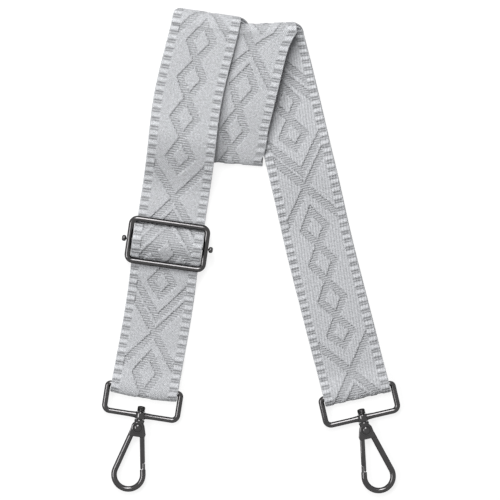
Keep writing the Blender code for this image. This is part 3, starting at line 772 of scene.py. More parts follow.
    def climb(self, start: float, end: float, low: float, high: float) -> Array:
        """Makes a profile that eases from one height to another.

        Args:
            start: Where it begins along the rail.
            end: Where it ends.
            low: Its height at the start.
            high: Its height at the end.

        Returns:
            Rows of distance, height and place along the weave, which is the distance.
        """
        distances = self.spaced(start, end)
        shares = (distances - start) / (end - start)
        return np.column_stack([distances, low + ease(shares) * (high - low), distances])

    def level(self, start: float, end: float, height: float) -> Array:
        """A level profile."""
        return self.climb(start, end, height, height)

    def bend(
        self,
        distance: float,
        radius: float,
        first: float,
        last: float,
        height: float,
        slack: float = 0.0,
    ) -> Array:
        """A round profile about a bar.

        Args:
            distance: Where the bar lies along the rail.
            radius: From the bar's axis to the middle of the cloth.
            first: Angle at which it starts, in degrees.
            last: Angle at which it ends.
            height: Height of the bar.
            slack: How far the cloth hangs past its seat.

        Returns:
            Rows of distance, height and place along the weave, which starts at 0.
        """
        steps = int(math.pi * (radius + slack) / self.row_step)
        steps = max(self.fewest_round_steps, steps)
        angles = np.radians(np.linspace(first, last, steps + 1))
        reach = distance + (radius + slack) * np.cos(angles)
        heights = height + radius * np.sin(angles)
        lengths = np.hypot(np.diff(reach), np.diff(heights))
        return np.column_stack([reach, heights, summed(lengths)])

    @staticmethod
    def joined(*profiles: Array) -> Array:
        """Joins profiles end to end.

        Args:
            profiles: The profiles, in order.

        Returns:
            One profile, without the rows that two of them share.
        """
        kept = [profiles[0]]
        for profile in profiles[1:]:
            last = kept[-1][-1]
            near = np.hypot(*(profile[0, :2] - last[:2])) < TINY
            kept.append(profile[1:] if near else profile)
        return np.concatenate(kept)

    def lay(self, rail: Rail, profile: Array, aside: Array | float = 0.0) -> Run:
        """Lays a side profile over a rail.

        Args:
            rail: The line in plan.
            profile: Rows of distance, height and place along the weave.
            aside: How far each cross line is moved along itself.

        Returns:
            The stretch of band, in the strap's own frame.
        """
        x, y, turn = rail.smooth_at(profile[:, 0])
        across = cross_line(turn)
        centres = np.column_stack([x, y, profile[:, 1]]) + np.asarray(aside)[..., None] * across
        return Run(centres, across, profile[:, 2])

    def fold(
        self,
        start: Array,
        end: Array,
        across: Array,
        outward: int,
        tilt: float = 0.0,
        bulge: float = 0.0,
    ) -> Run:
        """The doubled band round a half-round fold.

        Args:
            start: Where it begins.
            end: Where it ends.
            across: The cross line, which the fold keeps.
            outward: 1 where the fold lies beyond the band's end in +Y, and -1 in -Y.
            tilt: How steeply the band leaves it, in radians.
            bulge: How far it stands out past its ends, or 0 for a round fold.

        Returns:
            The stretch of band.
        """
        away = outward * np.array([-across[1], across[0], 0])
        radius = bulge or abs(end[2] - start[2]) / 2
        steps = max(self.fewest_round_steps, int(math.pi * radius / self.row_step))
        angles = np.linspace(0, math.pi - tilt, steps + 1)[:, None]
        base = end - radius * math.sin(tilt) * away
        plan = start + ease(angles / angles[-1]) ** 2 * (base - start)
        climbed = (end[2] - start[2]) * (1 - np.cos(angles)) / (1 + math.cos(tilt))
        plan[:, 2:] = start[2] + climbed
        centres = plan + radius * np.sin(angles) * away
        run = Run(centres, np.tile(across, (steps + 1, 1)), np.zeros(steps + 1))
        corner = self.fold_corner if outward > 0 else self.fold_corner / 2
        near = np.clip(corner - radius * (1 - np.sin(angles[:, 0])), 0, None)
        run.swell = (np.sqrt(corner**2 - near**2) - corner) / (self.width / 2)
        return run

    def beside(self, run: Run, side: Side, fade: Array) -> Run:
        """The front run or the back run of the doubled band.

        Args:
            run: The middle of the two.
            side: UPPER for the front run, LOWER for the back run.
            fade: How much of the sideways shift each cross line keeps.

        Returns:
            The one layer.
        """
        shift = -side.value * self.layer_shift / 2 * fade
        out = side.value * self.pitch / 2 * run.normals()
        moved = run.centres + out + shift[:, None] * run.acrosses
        return Run(moved, run.acrosses, run.along, run.swell)

    def hook_a_loop(self) -> Run:
        """Lays the sewn end round the ring of hook A, from the raw end.

        Returns:
            The stretch of band.
        """
        bend = self.bend(0, self.ring_wrap, -90, -270, self.ring_height, self.loop_slack)
        around = bend[-1, 2]
        bend[:, 2] -= around
        flap = self.level(self.hook_flap, 0, self.table_layer)
        flap[:, 2] = -around - flap[:, 0]
        top = self.ring_height + self.ring_wrap
        cover = self.hook_flap + self.flap_cover
        profile = self.joined(
            flap,
            bend,
            self.climb(0, self.loop_taper, top, self.over_flap),
            self.level(self.loop_taper, cover, self.over_flap),
        )
        loop = self.lay(self.left, profile)
        loop.sag = self.loop_sag * bell((profile[:, 0] + self.ring_wrap) / self.loop_taper)
        return loop

    def lower_leg(self) -> Run:
        """Lays the single layer from the sewn flap to the slider.

        Returns:
            The stretch of band.
        """
        start = self.hook_flap + self.flap_cover
        foot = self.place - self.arch_half
        profile = self.joined(
            self.climb(start, start + self.flap_step, self.over_flap, self.table_layer),
            self.level(start + self.flap_step, foot - self.leg_ramp, self.table_layer),
            self.climb(
                foot - self.leg_ramp, foot - self.arch_ease, self.table_layer, self.under_frame
            ),
            self.level(foot - self.arch_ease, foot, self.under_frame),
        )
        return self.lay(self.left, profile)

    def slider_arch(self) -> Run:
        """Lays the front run over the slider's bar.

        Returns:
            The stretch of band.
        """
        away = self.spaced(-self.arch_half, self.arch_half)
        reach = self.window_half - self.arch_ease
        rise = np.maximum(0, 1 - np.abs(away / reach) ** self.arch_round) ** (1 / self.arch_round)
        share = self.arch_fullness * rise + (1 - self.arch_fullness) * bell(away / reach)
        heights = self.under_frame + (self.arch_top - self.under_frame) * share
        profile = np.column_stack([self.place + away, heights, self.place + away])
        arch = self.lay(self.left, profile)
        pressed = (self.arch_half - np.abs(away)) / (self.arch_half - reach)
        arch.swell = self.arch_swell * ease(pressed)
        return arch

    def slider_wrap(self, start_along: float) -> Run:
        """The other sewn end round the slider's bar.

        Args:
            start_along: Its first cross line's place along the weave.

        Returns:
            The stretch of band, from the slider's upper side to the raw end.
        """
        reach = self.window_half - self.wrap_ease
        foot = self.under_frame - self.pitch
        bar_top = self.frame_plane + self.rod_wrap
        bar_foot = self.frame_plane - self.rod_wrap
        away = self.spaced(self.arch_half, 0)
        heights = foot + (bar_top - foot) * bell(away / reach)
        climbing = np.column_stack([self.place + away, heights, away])
        bend = self.bend(self.place, self.rod_wrap, 90, 270, self.frame_plane)
        away = self.spaced(0, self.slider_flap)
        heights = self.table_layer + (bar_foot - self.table_layer) * bell(away / reach)
        leaving = np.column_stack([self.place + away, heights, away])
        profile = self.joined(climbing, bend, leaving)
        steps = np.hypot(np.diff(profile[:, 0]), np.diff(profile[:, 1]))
        profile[:, 2] = start_along + summed(steps)
        return self.lay(self.left, profile, np.full(len(profile), self.layer_shift / 2))

    def doubled(self) -> tuple[Run, Array, Array, int, int]:
        """The doubled band from the slider to hook B.

        Returns:
            Its middle with the front run's places along the weave, the back run's places,
            how much of the sideways shift each cross line keeps, and the indexes at which
            the coil starts and ends.
        """
        coil_down = self.lay(self.down, self.level(0, self.down.length, self.table_pair))
        tilt = 2 * self.roll_drop / self.roll_length
        bulge = (self.turn_height - self.table_pair) / 2
        rising = self.climb(
            -bulge * math.sin(tilt), self.up.length, self.turn_height, self.right_fold_top
        )
        rising[:, 1] -= self.roll_drop * np.clip(1 - rising[:, 0] / self.roll_length, 0, None) ** 2
        coil_up = self.lay(self.up, rising)
        turn = self.fold(
            coil_down.centres[-1],
            coil_up.centres[0],
            coil_up.acrosses[0],
            outward=-1,
            tilt=math.atan(tilt),
            bulge=bulge,
        )
        edge = float(turn.centres[:, 1].min()) - self.table_pair
        above = self.place + self.slider_flap
        crossing = self.left.where(edge)
        foot, head = crossing - self.crossing_climb / 2, crossing + self.crossing_climb / 2
        under_pair = self.under_frame - self.pitch / 2
        left_leg = self.lay(
            self.left,
            self.joined(
                self.level(self.place + self.arch_half, above, under_pair),
                self.level(above, foot, under_pair),
                self.climb(foot, head, under_pair, self.crossing_height),
                self.climb(head, self.left.length, self.crossing_height, self.left_fold_top),
            ),
        )
        ramp = self.right.where(edge)
        right_leg = self.lay(
            self.right,
            self.joined(
                self.level(self.right.length, ramp, self.right_leg_height),
                self.climb(ramp, ramp - self.right_ramp, self.right_leg_height, self.table_pair),
                self.level(ramp - self.right_ramp, self.loop_taper, self.table_pair),
            ),
        )
        stretches = [
            left_leg,
            self.fold(left_leg.centres[-1], coil_down.centres[0], left_leg.acrosses[-1], 1),
            coil_down,
            turn,
            coil_up,
            self.fold(coil_up.centres[-1], right_leg.centres[0], right_leg.acrosses[0], 1),
            right_leg,
        ]
        centres = chained([stretch.centres for stretch in stretches])
        acrosses = chained([stretch.acrosses for stretch in stretches])
        swell = chained([np.broadcast_to(s.swell, len(s.centres)) for s in stretches])
        first = len(left_leg.centres) - 1
        last = len(centres) - len(right_leg.centres)
        steps = summed(np.linalg.norm(np.diff(centres, axis=0), axis=1))
        onward = left_leg.along[-1] + steps - steps[first]
        onward[: first + 1] = left_leg.along
        homeward = right_leg.along[0] + steps[last] - steps
        homeward[last:] = right_leg.along
        fade = np.ones(len(centres))
        fade[last:] = ease((right_leg.along - self.loop_taper) / self.leg_ramp)
        return Run(centres, acrosses, onward, swell), homeward, fade, first, last

    def hook_b_loop(self) -> Run:
        """Lays the unsewn turn round the ring of hook B, from its upper side.

        Returns:
            The stretch of band.
        """
        bend = self.bend(0, self.ring_wrap, 90, 270, self.ring_height, self.loop_slack)
        bend[:, 2] *= -1
        under = self.level(0, self.loop_taper, self.table_layer)
        under[:, 2] = bend[-1, 2] - under[:, 0]
        profile = self.joined(
            self.climb(self.loop_taper, 0, self.over_flap, self.ring_height + self.ring_wrap),
            bend,
            under,
        )
        return self.lay(self.right, profile)


# ---------------------------------------------------------------- the woven pattern


class Motif(Enum):
    """One figure of the woven pattern."""

    CROSS = "cross"
    DIAMOND = "diamond"
    CHEVRON_ON = "chevron opening onwards"
    CHEVRON_BACK = "chevron opening backwards"


@dataclass(frozen=True)
class Pattern:
    """What is woven along one of the webbing's two runs, in millimetres along the weave.

    Attributes:
        figures: The places of each kind of figure.
        tooth_pitch: Spacing of the border's teeth.
        tooth_start: Where one of the teeth starts.
    """

    figures: dict[Motif, tuple[float, ...]]
    tooth_pitch: float
    tooth_start: float


Face = tuple[Array, Array, Array]  # height over the ground, tone, how strongly ribs show


@dataclass
class Weave:
    """The jacquard pattern: sunk ribbed bands and a toothed border. Sizes are in millimetres."""

    half_width: float = 19.0
    band_width: float = 3.5
    diamond_reach: float = 6.7
    diamond_half: float = 10.6
    diamond_foot: float = 7.3
    diamond_join: float = 2.4  # diamonds meet when they are fewer halves apart
    cross_slope: float = 0.78
    border_start: float = 14.2
    border_end: float = 18.7
    tooth_share: float = 0.50
    groove_shares: tuple[float, float] = (0.60, 0.89)  # their places in a tooth's pitch
    groove_widths: tuple[float, float] = (0.66, 0.90)
    wall: float = 0.62
    groove_wall: float = 0.4
    step_across: float = 1.15
    step_along: float = 0.95
    stepped: float = 0.55  # how strongly the edges of the bands follow these steps
    band_depth: float = 0.34
    groove_depth: float = 0.40
    tooth_height: float = 0.10
    # painted shade: the sunk bands are darkened as if in shade
    band_painted_shade: float = 0.13
    # painted shade in the border's grooves and a painted highlight on its raised teeth
    groove_painted_shade: float = 0.46
    tooth_painted_highlight: float = 0.22
    back_depth: float = 0.05
    back_tone: float = 0.95
    back_contrast: float = 0.04
    back_ribs: float = 0.5
    selvedge: float = 0.40
    half_thickness: float = 0.58
    inner_columns: int = 72
    edge_angles: tuple[float, ...] = (22, 44, 66, 90)  # degrees round the selvedge

    def soft(self, inside: Array, wall: float | None = None) -> Array:
        """1 where inside is above 0 by a wall's width, and 0 where it is below 0."""
        return ease(inside / (wall or self.wall) + 0.5)

    def notched(self, place: Array, step: float) -> Array:
        """Moves places towards whole steps, as a weave does."""
        return place + self.stepped * (np.round(place / step) * step - place)

    def diamonds(self, aside: Array, along: Array, places: tuple[float, ...]) -> Array:
        """Finds the bands round the diamonds.

        Args:
            aside: Distance from the middle, for each point.
            along: Place along the weave, for each point.
            places: The diamonds' places.

        Returns:
            1 inside a band, 0 on the ground.
        """
        found = np.zeros_like(aside)
        half_band = self.band_width / 2
        nearby = self.diamond_join * self.diamond_half
        for place in places:
            low, high = self.diamond_foot, self.diamond_half
            for other in places:
                if 0 < place - other < nearby:
                    low = (place - other) / 2
                if 0 < other - place < nearby:
                    high = (other - place) / 2
            away = along - place
            half = np.where(away < 0, low, high)
            share = 1 - np.abs(away) / half
            slant = 1 / np.hypot(1, self.diamond_reach / half)
            distance = np.abs(aside - self.diamond_reach * share) * slant
            near = share > -half_band / slant / self.diamond_reach
            found = np.maximum(found, np.where(near, self.soft(half_band - distance), 0))
        return found

    def bands(self, across: Array, along: Array, pattern: Pattern) -> Array:
        """Finds how far each point lies inside a sunk band.

        Args:
            across: Distance from the middle, for each point.
            along: Place along the weave, for each point.
            pattern: What is woven.

        Returns:
            1 inside a band, 0 on the ground.
        """
        aside = np.abs(self.notched(across, self.step_across))
        along = self.notched(along, self.step_along)
        found = self.diamonds(aside, along, pattern.figures[Motif.DIAMOND])
        half_band = self.band_width / 2
        slant = 1 / math.hypot(1, self.cross_slope)
        ways = {Motif.CROSS: np.abs, Motif.CHEVRON_ON: np.positive, Motif.CHEVRON_BACK: np.negative}
        for motif, way in ways.items():
            for place in pattern.figures[motif]:
                arm = self.cross_slope * way(along - place)
                inside = self.soft(half_band - np.abs(aside - arm) * slant)
                found = np.maximum(found, np.where(arm > -half_band / slant, inside, 0))
        return found * self.soft(self.border_start - aside)

    def faces(self, across: Array, along: Array, pattern: Pattern) -> tuple[Face, Face]:
        """Weaves the cloth. Its wrong side is flatter, with light and dark changed over.

        Args:
            across: Distance from the middle, for each point.
            along: Place along the weave, for each point.
            pattern: What is woven.

        Returns:
            The right side and the wrong side.
        """
        aside = np.abs(across)
        band = self.bands(across, along, pattern)
        border = self.soft(aside - self.border_start) * self.soft(self.border_end - aside)
        pitch = pattern.tooth_pitch
        phase = np.mod(along - pattern.tooth_start, pitch)
        length = self.tooth_share * pitch
        tooth = np.where(phase < length, np.sin(np.pi * np.clip(phase / length, 0, 1)), 0)
        groove = np.zeros_like(phase)
        for share, width in zip(self.groove_shares, self.groove_widths):
            gap = np.abs(np.mod(phase - share * pitch + pitch / 2, pitch) - pitch / 2)
            groove = np.maximum(groove, self.soft(width / 2 - gap, self.groove_wall))
        relief = self.tooth_height * tooth - self.groove_depth * groove
        # painted shade in the grooves and a painted highlight on the teeth
        painted_border_shading = self.groove_painted_shade * groove - self.tooth_painted_highlight * tooth
        height = -self.band_depth * band + border * relief
        # The right side's tone darkens the sunk bands and the border's grooves and lightens its
        # teeth, as painted shade and painted highlight.
        right = height, 1 - self.band_painted_shade * band - border * painted_border_shading, band
        height = self.back_depth * band - self.back_depth
        tone = self.back_tone + self.back_contrast * band
        return right, (height, tone, self.back_ribs * (1 - band))

    def columns(self) -> Array:
        """Spaces the grid's columns, closer together at the edges.

        Returns:
            Their distances from the middle.
        """
        inner = self.half_width - self.selvedge
        middle = np.linspace(-inner, inner, self.inner_columns)
        edge = inner + self.selvedge * np.sin(np.radians(self.edge_angles))
        return np.concatenate([-edge[::-1], middle, edge])

    def rounding(self, across: Array) -> Array:
        """The share of its thickness that the cloth keeps towards its edges."""
        past = np.clip((np.abs(across) - self.half_width + self.selvedge) / self.selvedge, 0, 1)
        return np.sqrt(np.maximum(0, 1 - past * past))


FRONT = Pattern(
    figures={
        Motif.DIAMOND: (
            *(-33.0, -13.0, 8.8, 60.5, 77.5, 132.4, 154.1, 176.4, 197.8),
            *(250.0, 271.0, 290.0, 306.2, 327.4, 352.8, 408.0, 430.0, 451.0),
            *(503.0, 524.0, 545.0, 566.0),
        ),
        Motif.CROSS: (31.6, 108.8, 221.0, 374.2, 480.6, 589.0),
        Motif.CHEVRON_ON: (40.4, 230.6, 386.6),
        Motif.CHEVRON_BACK: (90.5, 99.4, 471.0),
    },
    tooth_pitch=4.97,
    tooth_start=3.2,
)
RETURN = Pattern(
    figures={
        Motif.DIAMOND: (
            *(33.9, 53.8, 75.0, 95.2, 149.1, 167.9, 219.0, 241.0, 263.0, 284.0),
            *(336.0, 357.0, 409.0, 430.0, 451.0, 472.0, 524.0),
        ),
        Motif.CROSS: (11.4, 118.9, 196.5, 307.0, 386.0, 495.0),
        Motif.CHEVRON_ON: (127.4, 316.6, 504.6),
        Motif.CHEVRON_BACK: (2.0, 187.0, 376.4),
    },
    tooth_pitch=4.59,
    tooth_start=2.55,
)


# ---------------------------------------------------------------- webbing


@dataclass
class Webbing:
    """The one band of webbing with its sewing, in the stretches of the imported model."""

    lay: StrapLay
    weave: Weave = field(default_factory=Weave)
    finish: WebbingFinish = WebbingFinish()
    thread: ThreadFinish = ThreadFinish()
    sharp_angle: float = math.radians(75)
    leg_blend: tuple[float, float] = (0.027, 0.066)  # two places along the leg below the slider, whose spots are found but not used
    band_blend: tuple[float, float] = (0.099, 0.127)  # two places along the band above it, whose spots are found but not used
    stitch_place: float = 0.0154
    slider_seam_place: float = 0.0008  # past the slider's frame
    stitch_length: float = 0.0025
    stitch_gap: float = 0.0009
    stitch_radius: float = 0.00028
    stitch_flatness: float = 0.8
    stitch_sides: int = 10
    stitch_rings: int = 8
    stitch_count: int = 10

    @staticmethod
    def skin(rows: int, count: int) -> list[list[int]]:
        """Lists the faces of a closed stretch, a tube with a cap at each end.

        Args:
            rows: How many cross lines it has.
            count: How many points lie across each of its two sides.

        Returns:
            The corners of each face.
        """
        loop = 2 * count - 2
        start = np.arange(rows - 1)[:, None] * loop
        here = start + np.arange(loop)
        beside = start + (np.arange(loop) + 1) % loop
        quads = np.stack([here, beside, beside + loop, here + loop], axis=-1)
        caps = []
        for j in range(count - 1):
            cap = list(dict.fromkeys([j, (loop - j) % loop, loop - j - 1, j + 1]))
            caps.append(cap)
            caps.append([v + (rows - 1) * loop for v in reversed(cap)])
        return quads.reshape(-1, 4).tolist() + caps

    def mesh(self, name: str, run: Run, right_side: Side, pattern: Pattern) -> bpy.types.Mesh:
        """Makes a closed stretch of webbing with its pattern raised and sunk.

        Args:
            name: The mesh's name.
            run: Its cross lines, in the strap's own frame.
            right_side: The face that carries the pattern.
            pattern: What is woven.

        Returns:
            The mesh, with the attributes that the finish reads.
        """
        columns = self.weave.columns()
        rows, count = len(run.centres), len(columns)
        across = np.broadcast_to(columns, (rows, count))
        along = np.broadcast_to(run.along[:, None] / MILLIMETRE, (rows, count))
        right, wrong = self.weave.faces(across, along, pattern)
        faces = {right_side: right, Side(-right_side.value): wrong}
        swell = np.broadcast_to(np.asarray(run.swell), rows)[:, None]
        sag = np.broadcast_to(np.asarray(run.sag), rows)[:, None]
        spread = across * (1 + swell) * MILLIMETRE
        hang = sag * (1 - (across / self.weave.half_width) ** 2)
        down = np.cross(run.acrosses, (0, 0, 1))[:, None, :]
        base = run.centres[:, None, :] + np.array(self.lay.origin)
        base = base + run.acrosses[:, None, :] * spread[..., None] + down * hang[..., None]
        normals = run.normals()[:, None, :]
        keep = self.weave.rounding(across)
        shells, notes = {}, {}
        for side, (height, tone, rib) in faces.items():
            reach = (self.weave.half_thickness + height) * keep * MILLIMETRE
            shells[side] = base + side.value * reach[..., None] * normals
            notes[side] = np.stack([across, along, tone, rib], axis=-1)
        points, values = (
            np.concatenate([part[Side.UPPER], part[Side.LOWER][:, -2:0:-1]], axis=1)
            for part in (shells, notes)
        )
        points, values = points.reshape(-1, 3), values.reshape(-1, 4)
        mesh = bpy.data.meshes.new(name)
        mesh.from_pydata(points, [], self.skin(rows, count))
        weave = np.column_stack([values[:, :2], np.zeros(len(points))])
        for label, kind, key, given in (
            ("weave", "FLOAT_VECTOR", "vector", weave),
            ("tone", "FLOAT", "value", values[:, 2]),
            ("rib", "FLOAT", "value", values[:, 3]),
        ):
            data = mesh.attributes.new(label, kind, "POINT").data
            data.foreach_set(key, given.astype(np.float32).ravel())
        mesh.shade_smooth()
        mesh.set_sharp_from_angle(angle=self.sharp_angle)
        return mesh

    def piece(
        self, node: str, run: Run, right_side: Side, pattern: Pattern, ground: Material
    ) -> Piece:
        """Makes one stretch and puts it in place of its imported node.

        Args:
            node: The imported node.
            run: Its cross lines.
            right_side: The face that carries the pattern.
            pattern: What is woven.
            ground: Its material.

        Returns:
            The stretch of webbing.
        """
        name = node.replace("webbing", "woven")
        item = bpy.data.objects.new(name, self.mesh(name, run, right_side, pattern))
        bpy.context.scene.collection.objects.link(item)
        item.data.materials.append(ground)
        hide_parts(node)
        run.length()
        return item

    def stitches(self, name: str, distance: float, height: float, aside: float = 0.0) -> Piece:
        """Sews a row across the band, each stitch a low rounded bar of thread.

        Args:
            name: The piece's name.
            distance: Where the row lies along the left leg's rail.
            height: The height of the thread's middle.
            aside: How far the band is shifted there.

        Returns:
            The row of stitches.
        """
        bpy.ops.object.select_all(action="DESELECT")
        bpy.ops.mesh.primitive_uv_sphere_add(
            segments=self.stitch_sides, ring_count=self.stitch_rings, radius=self.stitch_radius
        )
        item = bpy.context.object
        item.name = item.data.name = name
        size = (self.stitch_length / 2 / self.stitch_radius, 1, self.stitch_flatness)
        bpy.ops.object.mode_set(mode="EDIT")
        bpy.ops.mesh.select_all(action="SELECT")
        bpy.ops.transform.rotate(value=math.pi / 2, orient_axis="Y", center_override=(0, 0, 0))
        bpy.ops.transform.resize(value=size, center_override=(0, 0, 0))
        bpy.ops.object.mode_set(mode="OBJECT")
        copies = item.modifiers.new("Row", "ARRAY")
        copies.count = self.stitch_count
        copies.use_relative_offset = False
        copies.use_constant_offset = True
        pitch = self.stitch_length + self.stitch_gap
        copies.constant_offset_displace = (pitch, 0, 0)
        bpy.ops.object.modifier_apply(modifier=copies.name)
        x, y, turn = (float(value) for value in self.lay.left.at(distance))
        start = -pitch * (self.stitch_count - 1) / 2 + aside
        place = Matrix.Translation(Vector((x, y, height)) + self.lay.origin)
        place = place @ Matrix.Rotation(turn, 4, "Z") @ Matrix.Translation((start, 0, 0))
        item.data.transform(place)
        item.data.shade_smooth()
        item.data.materials.append(self.thread.material())
        return item

    def build(self) -> list[Piece]:
        """Makes every stretch and every seam.

        Returns:
            The pieces.
        """
        lay = self.lay
        knots = self.finish.material(Ground.KNOTS)
        lines = self.finish.material(Ground.LINES)
        up, low = Side.UPPER, Side.LOWER
        whole, homeward_along, fade, first, last = lay.doubled()
        front = lay.beside(whole, up, fade)
        back = lay.beside(whole, low, fade)
        back.along = homeward_along
        end = len(whole.centres) - 1
        stretches = [
            ("hook_a_loop", lay.hook_a_loop(), up, FRONT, knots, "strap"),
            ("lower_leg", lay.lower_leg(), up, FRONT, knots, None),
            ("slider_arch", lay.slider_arch(), up, FRONT, knots, "slider"),
            ("slider_wrap", lay.slider_wrap(back.along[0]), up, RETURN, knots, "slider"),
            ("front_left_leg", front.part(0, first), up, FRONT, knots, None),
            ("front_coil", front.part(first, last), up, FRONT, knots, "strap"),
            ("front_right_leg", front.part(last, end), up, FRONT, lines, "strap"),
            ("back_left_leg", back.part(0, first), low, RETURN, knots, None),
            ("back_coil", back.part(first, last), low, RETURN, knots, "strap"),
            ("back_right_leg", back.part(last, end), low, RETURN, lines, "strap"),
            ("hook_b_loop", lay.hook_b_loop(), low, RETURN, lines, "strap"),
        ]
        leg_start, leg_end = (lay.spot(lay.left, place) for place in self.leg_blend)
        band_start, band_end = (lay.spot(lay.left, place) for place in self.band_blend)
        made = []
        for name, run, side, pattern, ground, body in stretches:
            item = self.piece(f"webbing_{name}", run, side, pattern, ground)
            if body:
                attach(item, body)
            elif name == "lower_leg":
                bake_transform(item)
            else:
                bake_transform(item)
            made.append(item)
        rise = self.weave.half_thickness * MILLIMETRE
        above, under = lay.over_flap + rise, lay.table_layer - rise
        seam = self.stitches("hook_a_seam", self.stitch_place, above)
        made.append(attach(seam, "strap"))
        seam = self.stitches("hook_a_seam_under", self.stitch_place, under)
        made.append(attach(seam, "strap"))
        place = lay.place + lay.frame_half + self.slider_seam_place
        seam = self.stitches("slider_seam_under", place, under, lay.layer_shift / 2)
        made.append(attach(seam, "slider"))
        return made


# ---------------------------------------------------------------- hardware


Profile = list[tuple[float, float]]  # (radius, height) from top to bottom
EASED_SHARE = 0.3  # of a chamfer, where its middle point lies


def arc(centre: Vector, radius: float, first: float, last: float, steps: int) -> list[Vector]:
    """Draws an arc in XY.

    Args:
        centre: Its centre.
        radius: Its radius.
        first: The angle at which it starts, in degrees.
        last: The angle at which it ends.
        steps: How many edges it has.

    Returns:
        Its points.
    """
    return [
        Vector((centre[0] + radius * math.cos(a), centre[1] + radius * math.sin(a), 0))
        for a in np.radians(np.linspace(first, last, steps + 1))
    ]


def dome(radius: float, low: float, high: float, steps: int = 8) -> Profile:
    """Draws a dome.

    Args:
        radius: Its radius.
        low: The height of its rim.
        high: The height of its top.
        steps: How many edges it has.

    Returns:
        Its profile.
    """
    return [
        (radius * math.sin(a), low + (high - low) * math.cos(a))
        for a in np.linspace(0, math.pi / 2, steps + 1)
    ]


def eased(radius: float, height: float, chamfer: float, way: int = 1) -> Profile:
    """Draws the softened edge of a turned piece's end.

    Args:
        radius: The piece's radius.
        height: The height of its end.
        chamfer: How far the softening reaches.
        way: 1 for an upper end, -1 for a lower one.

    Returns:
        Its profile, from the end outwards.
    """
    near = chamfer * EASED_SHARE
    return [
        (radius - chamfer, height),
        (radius - near, height - way * near),
        (radius, height - way * chamfer),
    ]


def mirrored(half: Profile) -> Profile:
    """A profile and its mirror image below it."""
    return half + [(radius, -height) for radius, height in reversed(half)]


class Axis(Enum):
    """The axis that a turned piece is turned about, and how it comes to lie along it."""

    X = Matrix.Rotation(math.pi / 2, 4, "Y")
    Y = Matrix.Rotation(-math.pi / 2, 4, "X")
    Z = Matrix.Identity(4)


